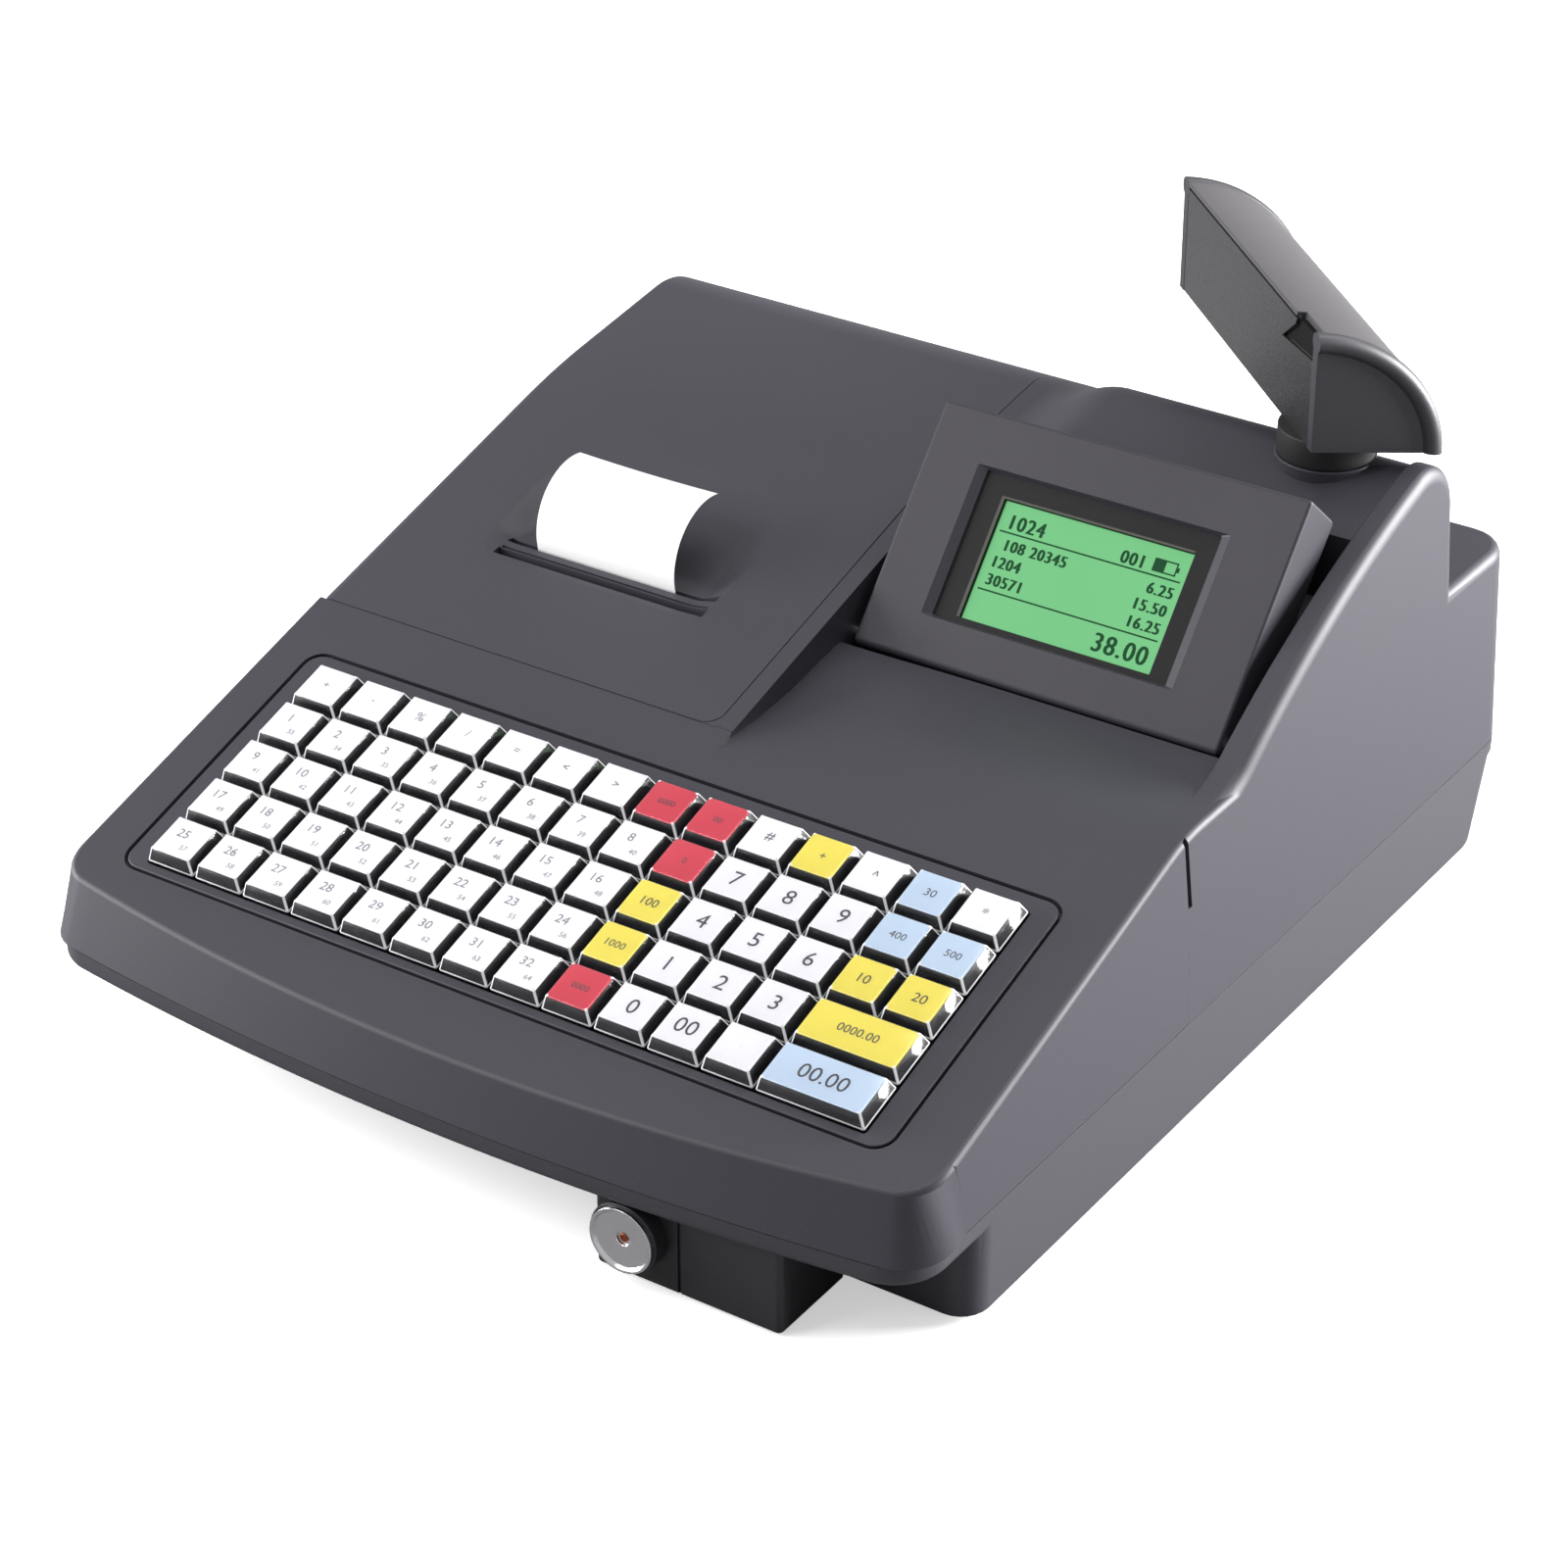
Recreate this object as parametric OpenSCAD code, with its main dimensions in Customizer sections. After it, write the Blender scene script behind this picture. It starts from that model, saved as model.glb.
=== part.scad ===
// Ticket register: a sloping counter till with a 68-key keyboard, a ticket printer under a
// hinged lid, a tilting operator display, a turning customer display and a clerk key reader.
// X runs to the right, Y to the back, Z up. The origin is under the middle of the whole part.

/* [Case] */
// Width of the case at its seam
body_w = 324; // [318:1:330]
// Height of the seam between the upper and the lower case
seam_z = 38; // [36:0.5:40]
// Height of the underside of the front lip
lip_z = 30.5; // [29:0.5:32]
// Wall thickness of the case
wall = 2.6; // [2:0.1:3]
// Lean of the side walls in degrees
side_draft = 2.4; // [1:0.1:4]
// Radius of the upright corners
corner_r = 18; // [14:1:20]
// Radius of the bowed front, seen from above
bow_r = 1050; // [900:10:1400]

/* [Keyboard] */
// Slope of the keyboard in degrees
deck_angle = 16.8; // [16:0.1:18]
// Columns of keys
key_cols = 14; // [14:1:14]
// Rows of keys
key_rows = 5; // [5:1:5]
// Distance between the keys, across
pitch_x = 19.05; // [19:0.05:19.1]
// Distance between the keys, front to back
pitch_y = 18.75; // [18.7:0.05:18.8]
// Height of a key top over the panel
key_h = 5.6; // [5:0.1:6.5]
// Travel of a key
key_travel = 2.5; // [1.5:0.1:2.5]

/* [Printer lid] */
// Slope of the lid in degrees
lid_angle = 15.5; // [15:0.1:16]
// Width of the paper
paper_w = 57.5; // [57:0.5:58]
// Radius of the full paper roll
roll_r = 31; // [20:1:31]

/* [Operator display] */
// Width of the operator display's housing
lcd_w = 133; // [130:0.5:134]
// Height of its face, along the slope
lcd_h = 84.4; // [82:0.2:85]
// Slope of its face in degrees
lcd_angle = 49.3; // [48:0.1:50]

/* [Customer display] */
// Length of the customer display
cust_l = 138.5; // [120:0.5:142]
// Radius of its rounded back
cust_r = 42; // [38:0.5:44]
// Direction in which it points at rest, from the X axis
cust_turn = 137; // [130:1:140]

/* [Hidden] */

// Lengths along Y are measured from the middle of the keyboard and shifted by place().
deck_z0 = 77.8;
front_y = -76.5;
front_lean = 16.6;
rear_y = 317;
rear_draft = 2.6;
base_z = 2;
half_w = body_w / 2;
key_x = -1.5;
pivot = [120.5, 244];
pivot_along = 20;
pivot_deep = 12;
neck_z = 159.2;
neck_r = 16;
spigot_r = 8;
cust_z = 168;
back_y = pivot[1] + (cust_l - pivot_along) * sin(cust_turn) - (cust_r - pivot_deep) * cos(cust_turn);
y_mid = (front_y + back_y) / 2;

charcoal = [0.30, 0.30, 0.33];
dark = [0.12, 0.12, 0.13];
steel = [0.75, 0.75, 0.77];

module place() {
    translate([0, -y_mid, 0]) children();
}

// Points of an arc around c from angle a to angle b.
function arc(c, r, a, b, n = 8) =
    [for (i = [0 : n]) c + r * [cos(a + (b - a) * i / n), sin(a + (b - a) * i / n)]];

// A prism along X whose section is given in Y and Z.
module yz_prism(x0, x1, pts) {
    translate([x0, 0, 0]) rotate([90, 0, 90]) linear_extrude(x1 - x0) polygon(pts);
}

// A block given by its two corners.
module block(p, q) {
    translate(p) cube(q - p);
}

// A round bar along X.
module x_bar(x0, x1, y, z, r) {
    translate([x0, y, z]) rotate([0, 90, 0]) cylinder(h = x1 - x0, r = r, $fn = 48);
}

// ---------------------------------------------------------------- outline of the case

// A block from z0 to z1 with a bowed front, whose walls lean in by front, side and rear degrees.
module mould(z0, z1, inset, front, side, rear) {
    rise = z1 - z0;
    r = corner_r - inset;
    w0 = half_w - inset;
    w1 = w0 - rise * tan(side);
    bow0 = bow_r - inset;
    bow1 = bow0 - rise * tan(front);
    y0 = rear_y - inset;
    y1 = y0 - rise * tan(rear);
    fx0 = w0 - r / cos(side);
    fx1 = w1 - r / cos(side);
    middle = front_y + bow_r;
    difference() {
        intersection() {
            translate([0, middle, z0]) cylinder(h = rise, r1 = bow0, r2 = bow1, $fn = 720);
            translate([0, 500, 0]) rotate([90, 0, 0]) linear_extrude(700)
                polygon([[-w0, z0], [w0, z0], [w1, z1], [-w1, z1]]);
            yz_prism(-200, 200, [[-200, z0], [y0, z0], [y1, z1], [-200, z1]]);
        }
        for (m = [0, 1]) mirror([m, 0, 0]) {
            corner([fx0, middle - sqrt(pow(bow0 - r / cos(front), 2) - fx0 * fx0), z0],
                [fx1, middle - sqrt(pow(bow1 - r / cos(front), 2) - fx1 * fx1), z1],
                r, asin(fx0 / bow0) - 90, 0);
            corner([fx0, y0 - r / cos(rear), z0], [fx1, y1 - r / cos(rear), z1], r, 0, 90);
        }
    }
}

// What is cut off an upright corner that is rounded about the line from p to q.
module corner(p, q, r, from, to) {
    d = (q - p) / norm(q - p);
    far = r + 40;
    translate(p) rotate([-asin(d[1]), atan2(d[0], d[2]), 0]) translate([0, 0, -20]) difference() {
        linear_extrude(norm(q - p) + 40) polygon([[0, 0], far * [cos(from), sin(from)],
            1.5 * far * [cos((from + to) / 2), sin((from + to) / 2)], far * [cos(to), sin(to)]]);
        translate([0, 0, -1]) cylinder(h = norm(q - p) + 42, r = r, $fn = 96);
    }
}

// The moulded outline of the upper case, leaning in from the seam upwards.
module case_mould(inset) {
    mould(seam_z, seam_z + 130, inset, front_lean, side_draft, rear_draft);
}

// ---------------------------------------------------------------- profiles in Y and Z

function deck_z(y) = deck_z0 + y * tan(deck_angle);
lid_y = 73;
lid_z0 = 100;
function lid_z(y) = lid_z0 + (y - lid_y) * tan(lid_angle);
crease_y = 200.3;
hood_y = 262;
hood_angle = 8.2;
hood_r = 26;
hood_z = lid_z(crease_y) + (hood_y - crease_y) * tan(hood_angle);
hood_c = [hood_y + hood_r * sin(hood_angle), hood_z - hood_r * cos(hood_angle)];
terrace_z = 104.6;
terrace_y = 134.5;
cheek_x = 6.5;
well_x0 = 8;
well_x1 = 148.4;
well_wall = 151;
deck_skin = 5.2;
shelf_z = 110;
shelf_y = 294;
wing_c = [332.17, -203.91];
wing_r = 375.16;
wing_from = 123.06;
wing_to = 104.06;
sweep_r = 36.5;
crest_r = 19;
top_y = 209.5;
block_drop = 1.5;
ramp_x = 42;

deck_line = [[-95, deck_z(-95)], [78, deck_z(78)], [86, deck_z(86) - 0.4], [94, terrace_z - 0.4],
    [102, terrace_z]];
function lid_line(off, bottom) = concat([[lid_y, lid_z0 - off], [crease_y, lid_z(crease_y) - off]],
    arc(hood_c, hood_r - off, 90 + hood_angle, 0, 10), [[hood_c[0] + hood_r - off, bottom]]);
function hood_line(bottom) = concat([[top_y, bottom], [top_y, hood_z - (hood_y - top_y) * tan(hood_angle)]],
    arc(hood_c, hood_r, 90 + hood_angle, 0, 10), [[hood_c[0] + hood_r, bottom]]);
crest_c = wing_c + (wing_r - crest_r) * [cos(wing_to), sin(wing_to)];
function crest_line(drop) = arc(crest_c, crest_r - drop, wing_to, 6, 8);
function wing_line() = concat(
    arc(wing_c + (wing_r + sweep_r) * [cos(wing_from), sin(wing_from)], sweep_r, -90, wing_from - 180, 5),
    arc(wing_c, wing_r, wing_from, wing_to, 8), crest_line(0));
function top_line(drop) = concat(
    arc(wing_c, wing_r - drop, acos((top_y - wing_c[0]) / (wing_r - drop)), wing_to, 6), crest_line(drop));

module full_case() {
    // deck and terrace over the whole width
    yz_prism(-170, 170, concat([[-95, 30]], deck_line, [[terrace_y, terrace_z], [terrace_y, 30]]));
    // printer side with its cheek
    yz_prism(-170, cheek_x, concat([[60, 30], [60, 90]], lid_line(0, shelf_z), [[300, shelf_z], [300, 30]]));
    // end of the hood beside the lid, and the ramp up to the block behind the operator display
    yz_prism(cheek_x - 1, 23, hood_line(90));
    hull() {
        yz_prism(cheek_x - 1, cheek_x, hood_line(90));
        yz_prism(ramp_x, ramp_x + 1, concat([[top_y, 90]], top_line(block_drop), [[266, 90]]));
    }
    yz_prism(ramp_x, well_wall, concat([[top_y, 30]], top_line(block_drop), [[266.5, shelf_z], [266.5, 30]]));
    // socket for the neck of the customer display
    translate([pivot[0], pivot[1], 120]) cylinder(h = neck_z - 0.3 - 120, r = neck_r + 0.5, $fn = 64);
    // floor under the operator display
    yz_prism(cheek_x - 1, well_wall, [[terrace_y - 1, 30], [terrace_y - 1, terrace_z], [terrace_y, terrace_z],
        [151, 96], [top_y, 126], [top_y + 1, 126], [top_y + 1, 30]]);
    // wing on the right
    yz_prism(well_x1, 170, concat([[100, 30], [100, terrace_z]], wing_line(),
        [[266.5, shelf_z], [266.5, 30]]));
    // rear shelf
    yz_prism(-170, 170, [[200, 30], [200, shelf_z], [311, shelf_z], [314, shelf_z - 3], [330, 30]]);
}

module case_cavity() {
    intersection() {
        mould(seam_z - 1, seam_z + 129, wall, front_lean, side_draft, rear_draft);
        union() {
            yz_prism(-170, 170, [[-80, 20], [-80, deck_z(-80) - deck_skin], [76, deck_z(76) - deck_skin],
                [76, 20]]);
            yz_prism(3, 158, [[75, 20], [75, deck_z(75) - deck_skin], [96, terrace_z - 3.4],
                [130.5, terrace_z - 3.4], [130.5, 20]]);
            yz_prism(3, well_wall, [[129, 20], [129, 92], [152, 92], [206.9, 120.4], [206.9, 20]]);
            yz_prism(3, ramp_x, [[206, 20], [206, 120], [213, 130], [262, 133], [262, 20]]);
            yz_prism(ramp_x, well_wall, [[206, 20], [206, 120], [212, 146],
                [247, 155], [260, 143], [263, 20]]);
            yz_prism(well_wall, 158, [[129, 20], [129, 104], [165, 127.5], [205, 145], [247, 156.5],
                [260, 146], [262, 20]]);
            yz_prism(-158, 158, [[261, 20], [261, shelf_z - wall], [310, shelf_z - wall], [320, 20]]);
            block([-156, 75, 20], [-3.5, 287, 200]);
        }
    }
}

// A rounded plate in the keyboard plane: u across, v up the slope, w out of the deck.
module deck_frame() {
    translate([key_x, 0, deck_z0]) rotate([deck_angle, 0, 0]) children();
}

module round_plate(w, l, r, w0, w1) {
    translate([0, 0, w0]) linear_extrude(w1 - w0)
        polygon(concat(arc([w / 2 - r, l / 2 - r], r, 0, 90, 6), arc([r - w / 2, l / 2 - r], r, 90, 180, 6),
            arc([r - w / 2, r - l / 2], r, 180, 270, 6), arc([w / 2 - r, r - l / 2], r, 270, 360, 6)));
}

panel_w = 284;
panel_l = 104;
panel_v = 1.5;
panel_t = 2.4;
field_w = key_cols * pitch_x;
field_l = key_rows * pitch_y;
groove = 0.8;

module upper_case() {
    color(charcoal) place() difference() {
        intersection() {
            case_mould(0);
            full_case();
        }
        case_cavity();
        // recess of the keyboard panel
        deck_frame() translate([0, panel_v, 0]) {
            round_plate(panel_w + 2 * groove, panel_l + 2 * groove, 8 + groove, -panel_t, 20);
            round_plate(panel_w - 10, panel_l - 8, 4, -30, 1);
        }
        lid_room();
        // well of the operator display, and the holes for its hinge pins
        yz_prism(well_x0, well_x1,
            [[terrace_y, 200], [terrace_y, 96], [151, 96], [top_y, 126], [top_y, 200]]);
        for (x = lcd_pins) x_bar(x[0], x[1], lcd_axis[0], lcd_axis[1], pin_r);
        // fine groove across the shoulder
        deck_frame() translate([0, 91.5, 0]) {
            block([half_w - 3.2, -0.5, -21], [half_w + 10, 0.5, 12]);
            block([half_w - 10, -0.5, -0.8], [half_w + 10, 0.5, 12]);
        }
        // bore of the customer display's spigot
        translate([pivot[0], pivot[1], 120]) cylinder(h = 60, r = spigot_r + 0.05, $fn = 48);
        // window of the port panel
        block([20, 300, 50], [140, 330, 80]);
    }
}

// The room that the lid takes, seen in Y and Z and from above.
module lid_room() {
    gap = 0.4;
    intersection() {
        yz_prism(-170, 0, concat([[lid_y - gap, 200], [lid_y - gap, lid_z0 - lid_deep - gap]],
            [[crease_y, lid_z(crease_y) - lid_deep - gap]],
            arc(hood_c, hood_r - lid_deep - gap, 90 + hood_angle, 0, 8),
            [[hood_c[0] + hood_r - lid_deep - gap, shelf_z + gap], [shelf_y, shelf_z + gap],
                [shelf_y + 20, 200]]));
        lid_plan(gap);
    }
    x_bar(-170, -0.1, hinge[0], hinge[1], 10.4);
}

// Outline of the lid from above: one rounded corner at the right front.
module lid_plan(gap) {
    r = lid_corner + gap;
    linear_extrude(250) polygon(concat([[-170, 330], [-170, lid_y - gap]],
        arc([lid_x1 + gap - r, lid_y - gap + r], r, -90, 0, 6), [[lid_x1 + gap, 330]]));
}

// ---------------------------------------------------------------- lower case and what is under it

plinth_y = -34;
boss_places = [[12, 100], [132, 100], [12, 262], [132, 262]];

module lower_case() {
    color(charcoal) place() difference() {
        union() {
            difference() {
                intersection() {
                    mould(base_z, seam_z - 0.3, 0, 0, 0, 0);
                    yz_prism(-170, 170, [[front_y - 1, seam_z], [front_y, seam_z - 1],
                        [front_y + 3.5, lip_z], [plinth_y, lip_z], [plinth_y, base_z], [302, base_z],
                        [rear_y - 1, 15], [rear_y, 60]]);
                }
                intersection() {
                    mould(base_z - 1, seam_z + 1, wall, 0, 0, 0);
                    yz_prism(-170, 170, [[front_y, 60], [front_y + 6, lip_z + wall],
                        [plinth_y + wall, lip_z + wall], [plinth_y + wall, base_z + wall],
                        [300, base_z + wall], [rear_y - 4, 17], [rear_y, 60]]);
                }
            }
            for (p = boss_places) translate([p[0], p[1], base_z])
                cylinder(h = board_z - base_z, r = 3.5, $fn = 32);
        }
        for (p = screw_places) translate([p[0], p[1], -1]) cylinder(h = 20, r = 1.7, $fn = 32);
    }
}

board_z = 14;
screw_places = [[-140, 0], [140, 0], [-140, 285], [140, 285], [0, 285]];
foot_places = [[-135, -15], [135, -15], [-135, 280], [135, 280]];

module rubber_feet() {
    color(dark) place() for (p = foot_places)
        translate([p[0], p[1], 0]) cylinder(h = base_z, r = 9, $fn = 48);
}

module case_screws() {
    color(steel) place() for (p = screw_places) translate([p[0], p[1], base_z + wall]) {
        translate([0, 0, 0.4 - wall]) cylinder(h = 9, r = 1.65, $fn = 32);
        cylinder(h = 2, r = 3, $fn = 32);
    }
}

module port_panel() {
    color(dark) place() difference() {
        block([20, 312, 50], [140, 315, 80]);
        // power inlet
        translate([32, 300, 65]) rotate([-90, 0, 0]) cylinder(h = 30, r = 4, $fn = 32);
        // drawer, scanner, serial and network sockets
        block([46, 300, 58], [59, 330, 72]);
        block([66, 300, 58], [79, 330, 72]);
        block([86, 300, 59], [104, 330, 70]);
        block([111, 300, 58], [127, 330, 73]);
    }
}

module main_board() {
    top = board_z + 1.6;
    color([0.1, 0.35, 0.2]) place() {
        block([3, 90, board_z], [142, 272, top]);
        block([20, 120, top], [50, 150, top + 2.4]);
        block([70, 130, top], [92, 152, top + 2.8]);
        block([100, 200, top], [130, 235, top + 16]);
        block([8, 200, top], [18, 250, top + 8]);
    }
}

// ---------------------------------------------------------------- keyboard

module keyboard_panel() {
    color(charcoal) place() deck_frame() difference() {
        translate([0, panel_v, 0]) round_plate(panel_w, panel_l, 8, -panel_t, 0);
        block([-field_w / 2 - 0.4, -field_l / 2 - 0.4, -9], [field_w / 2 + 0.4, field_l / 2 + 0.4, 9]);
    }
}

// Middle of a key, counted from the left and from the back.
function key_at(c, r) = [(c - (key_cols - 1) / 2) * pitch_x, ((key_rows - 1) / 2 - r) * pitch_y];

all_keys = [for (r = [0 : 4]) for (c = [0 : 13]) if (!(r > 2 && c > 11)) key_at(c, r)];
wide_keys = [(key_at(12, 3) + key_at(13, 3)) / 2, (key_at(12, 4) + key_at(13, 4)) / 2];
plunger = 5;

tray_w = field_w + 16;
tray_l = field_l + 8;
tray_top = -5.05;
sheet_w = -16.2;

// The guide plate is the floor of a shallow tray that hangs under the deck.
module key_guide_plate() {
    color(dark) place() deck_frame() difference() {
        block([-tray_w / 2, -tray_l / 2, sheet_w], [tray_w / 2, tray_l / 2, tray_top]);
        block([2 - tray_w / 2, 2 - tray_l / 2, -7.4], [tray_w / 2 - 2, tray_l / 2 - 2, 0]);
        block([2 - tray_w / 2, 2 - tray_l / 2, -20], [tray_w / 2 - 2, tray_l / 2 - 2, -9.4]);
        for (p = concat(all_keys, wide_keys))
            translate([p[0], p[1], -8]) cube([plunger + 0.5, plunger + 0.5, 9], center = true);
    }
}

module dome_sheet() {
    color([0.75, 0.75, 0.75]) place() deck_frame() {
        block([-tray_w / 2, -tray_l / 2, sheet_w - 0.8], [tray_w / 2, tray_l / 2, sheet_w]);
        for (p = concat(all_keys, wide_keys))
            translate([p[0] - 4, p[1] - 4, sheet_w - 0.1]) cube([8, 8, 1.3]);
    }
}

module keyboard_board() {
    color([0.1, 0.35, 0.2]) place() deck_frame()
        block([-tray_w / 2, -tray_l / 2, sheet_w - 2.4], [tray_w / 2, tray_l / 2, sheet_w - 0.8]);
}

cap_gap = 0.95;
cap_slope = 2.1;

// A key: skirt, flat-sided cap that narrows upwards, and the plunger below.
module key(p, span = 1) {
    w = span * pitch_x - cap_gap;
    l = pitch_y - cap_gap;
    rim = 0.4;
    translate([p[0], p[1], 0]) {
        intersection() {
            rotate([90, 0, 0]) translate([0, 0, -20]) linear_extrude(40)
                polygon([[-w / 2, rim], [w / 2, rim], [w / 2, rim + 0.8], [w / 2 - cap_slope, key_h],
                    [cap_slope - w / 2, key_h], [-w / 2, rim + 0.8]]);
            yz_prism(-30, 30, [[-l / 2, rim], [l / 2, rim], [l / 2, rim + 0.8], [l / 2 - cap_slope, key_h],
                [cap_slope - l / 2, key_h], [-l / 2, rim + 0.8]]);
        }
        block([1 - w / 2, 1 - l / 2, -4.2], [w / 2 - 1, l / 2 - 1, rim + 0.1]);
        block([-plunger / 2, -plunger / 2, -12.3], [plunger / 2, plunger / 2, -4.1]);
    }
}

module keys(list, tint) {
    color(tint) place() deck_frame() for (p = list) key(key_at(p[0], p[1]));
}

white = [0.95, 0.95, 0.96];
red = [0.82, 0.36, 0.43];
yellow = [0.93, 0.86, 0.42];
blue = [0.75, 0.81, 0.90];

module keys_row_1() { keys([for (c = [0, 1, 2, 3, 4, 5, 6, 9, 11, 13]) [c, 0]], white); }
module keys_row_2() { keys([for (c = [0 : 7]) [c, 1]], white); }
module keys_row_3() { keys([for (c = [0 : 7]) [c, 2]], white); }
module keys_row_4() { keys([for (c = [0 : 7]) [c, 3]], white); }
module keys_row_5() { keys([for (c = [0 : 7]) [c, 4]], white); }
module keys_red() { keys([[7, 0], [8, 0], [8, 1], [8, 4]], red); }
module keys_yellow() { keys([[10, 0], [8, 2], [8, 3], [12, 2], [13, 2]], yellow); }
module keys_blue() { keys([[12, 0], [12, 1], [13, 1]], blue); }
module key_subtotal() { color(yellow) place() deck_frame() key(wide_keys[0], 2); }
module key_total() { color(blue) place() deck_frame() key(wide_keys[1], 2); }
module key_7() { keys([[9, 1]], white); }
module key_8() { keys([[10, 1]], white); }
module key_9() { keys([[11, 1]], white); }
module key_4() { keys([[9, 2]], white); }
module key_5() { keys([[10, 2]], white); }
module key_6() { keys([[11, 2]], white); }
module key_1() { keys([[9, 3]], white); }
module key_2() { keys([[10, 3]], white); }
module key_3() { keys([[11, 3]], white); }
module key_0() { keys([[9, 4]], white); }
module key_double_zero() { keys([[10, 4]], white); }
module key_point() { keys([[11, 4]], white); }

// ---------------------------------------------------------------- clerk key reader

reader_x0 = 52.5;
reader_x1 = 118;
reader_y = -67;
reader_at = [66.5, 18];
reader_r = 11;

module reader_housing() {
    color(dark) place() difference() {
        block([reader_x0, reader_y, 1], [reader_x1, plinth_y, lip_z]);
        block([82, reader_y - 1, -1], [83, reader_y + 0.8, lip_z + 1]);
        translate([reader_at[0], reader_y - 1, reader_at[1]]) rotate([-90, 0, 0])
            cylinder(h = 12, r = 6, $fn = 48);
    }
}

module reader_bezel() {
    color(dark) place() translate([reader_at[0], reader_y, reader_at[1]]) rotate([90, 0, 0]) difference() {
        union() {
            cylinder(h = 5.4, r = reader_r + 0.8, $fn = 64);
            translate([0, 0, -8]) cylinder(h = 8.5, r = 5.9, $fn = 48);
        }
        translate([0, 0, 3.4]) cylinder(h = 5, r = 8.2, $fn = 64);
        translate([0, 0, -1]) cylinder(h = 9, r = 1.6, $fn = 32);
    }
}

module reader_cup() {
    color(steel) place() translate([reader_at[0], reader_y, reader_at[1]]) rotate([90, 0, 0])
        rotate_extrude($fn = 64) polygon([[3, 3.45], [8.15, 3.45], [8.15, 5.42], [reader_r, 5.42],
            [reader_r, 6.6], [9.6, 7.0], [8.6, 6.8], [7.6, 4.9], [3, 4.9]]);
}

module reader_contact() {
    color([0.72, 0.45, 0.3]) place() translate([reader_at[0], reader_y, reader_at[1]])
        rotate([90, 0, 0]) {
            translate([0, 0, -0.9]) cylinder(h = 6.2, r = 1.55, $fn = 32);
            translate([0, 0, 5.2]) cylinder(h = 0.5, r = 1.2, $fn = 32);
        }
}

// ---------------------------------------------------------------- printer

lid_x1 = -0.5;
lid_deep = 9;
lid_corner = 6;
print_x = -76.25;
platen = [126, 90];
platen_r = 6;
shaft_r = 2;
plate_x = 33;
beam_z = 58;
beam_x = [-153, -9];

// Four legs that carry a beam across the printer's side of the case.
module legs(y0, y1) {
    for (x = beam_x + [3, -3]) for (y = [y0 + 4, y1 - 4])
        block([x - 3, y - 3, base_z + wall], [x + 3, y + 3, beam_z - 3]);
    block([beam_x[0], y0, beam_z - 4], [beam_x[1], y1, beam_z]);
}

module printer_frame() {
    color(steel) place() {
        for (s = [-1, 1]) difference() {
            yz_prism(print_x + s * plate_x - 0.8, print_x + s * plate_x + 0.8,
                [[112, beam_z], [146, beam_z], [146, 84], [133, 98], [119, 98], [112, 92]]);
            x_bar(print_x - 40, print_x + 40, platen[0], platen[1], shaft_r + 0.05);
            x_bar(print_x - 40, print_x, pinion[0], pinion[1], 1.05);
        }
        block([print_x - plate_x, 112, beam_z], [print_x + plate_x, 146, beam_z + 1.6]);
        legs(112, 146);
        // axle of the idler gear
        x_bar(gear_x0 + 0.2, print_x - plate_x, idler[0], idler[1], 1.5);
    }
}

module platen_roller() {
    color(dark) place() {
        x_bar(print_x - 29, print_x + 29, platen[0], platen[1], platen_r);
        x_bar(print_x - 44, print_x + 36, platen[0], platen[1], shaft_r);
    }
}

// A straight gear along X with trapezoid teeth.
module gear(x0, x1, at, teeth, r, turn, bore) {
    translate([x0, at[0], at[1]]) rotate([90, 0, 90]) difference() {
        linear_extrude(x1 - x0) polygon([for (i = [0 : teeth - 1]) for (k = [0 : 3])
            let (a = turn + (i + [-0.34, -0.12, 0.12, 0.34][k]) * 360 / teeth,
                 q = [r - 0.72, r + 0.5, r + 0.5, r - 0.72][k])
            [q * cos(a), q * sin(a)]]);
        translate([0, 0, -1]) cylinder(h = x1 - x0 + 2, r = bore, $fn = 32);
    }
}

module_mm = 0.6;
platen_teeth = 24;
idler_teeth = 20;
pinion_teeth = 12;
gear_x0 = print_x - 43;
gear_x1 = print_x - 39;
idler_angle = -115;
idler = platen + (platen_teeth + idler_teeth) * module_mm / 2 * [cos(idler_angle), sin(idler_angle)];
pinion_angle = -60;
pinion = idler + (idler_teeth + pinion_teeth) * module_mm / 2 * [cos(pinion_angle), sin(pinion_angle)];

module platen_gear() {
    color([0.9, 0.9, 0.88]) place()
        gear(gear_x0, gear_x1, platen, platen_teeth, platen_teeth * module_mm / 2, idler_angle, shaft_r);
}

module idler_gear() {
    color([0.9, 0.9, 0.88]) place() gear(gear_x0, gear_x1, idler, idler_teeth,
        idler_teeth * module_mm / 2, idler_angle + 180 + 180 / idler_teeth, 1.55);
}

module motor_pinion() {
    pinion_turn = pinion_angle + 180 + 180 / pinion_teeth
        + ((pinion_angle - idler_angle - 180 - 180 / idler_teeth) * idler_teeth / pinion_teeth);
    color([0.8, 0.65, 0.3]) place() {
        gear(gear_x0, gear_x1, pinion, pinion_teeth, pinion_teeth * module_mm / 2, pinion_turn, 1);
        x_bar(gear_x0, print_x - plate_x + 2.5, pinion[0], pinion[1], 1);
    }
}

module thermal_head() {
    color([0.85, 0.83, 0.78]) place() {
        block([print_x - 29, 117, 82], [print_x + 29, 119.7, 97]);
        block([print_x - 31, 113, beam_z + 1.6], [print_x + 31, 117, 96]);
    }
}

module feed_motor() {
    color(steel) place() difference() {
        x_bar(print_x - plate_x + 0.8, print_x - plate_x + 15, pinion[0], pinion[1], 8);
        x_bar(print_x - 80, print_x - plate_x + 3, pinion[0], pinion[1], 1.05);
    }
}

roll_at = [222, 99];
bucket_r = 34.3;

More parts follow.
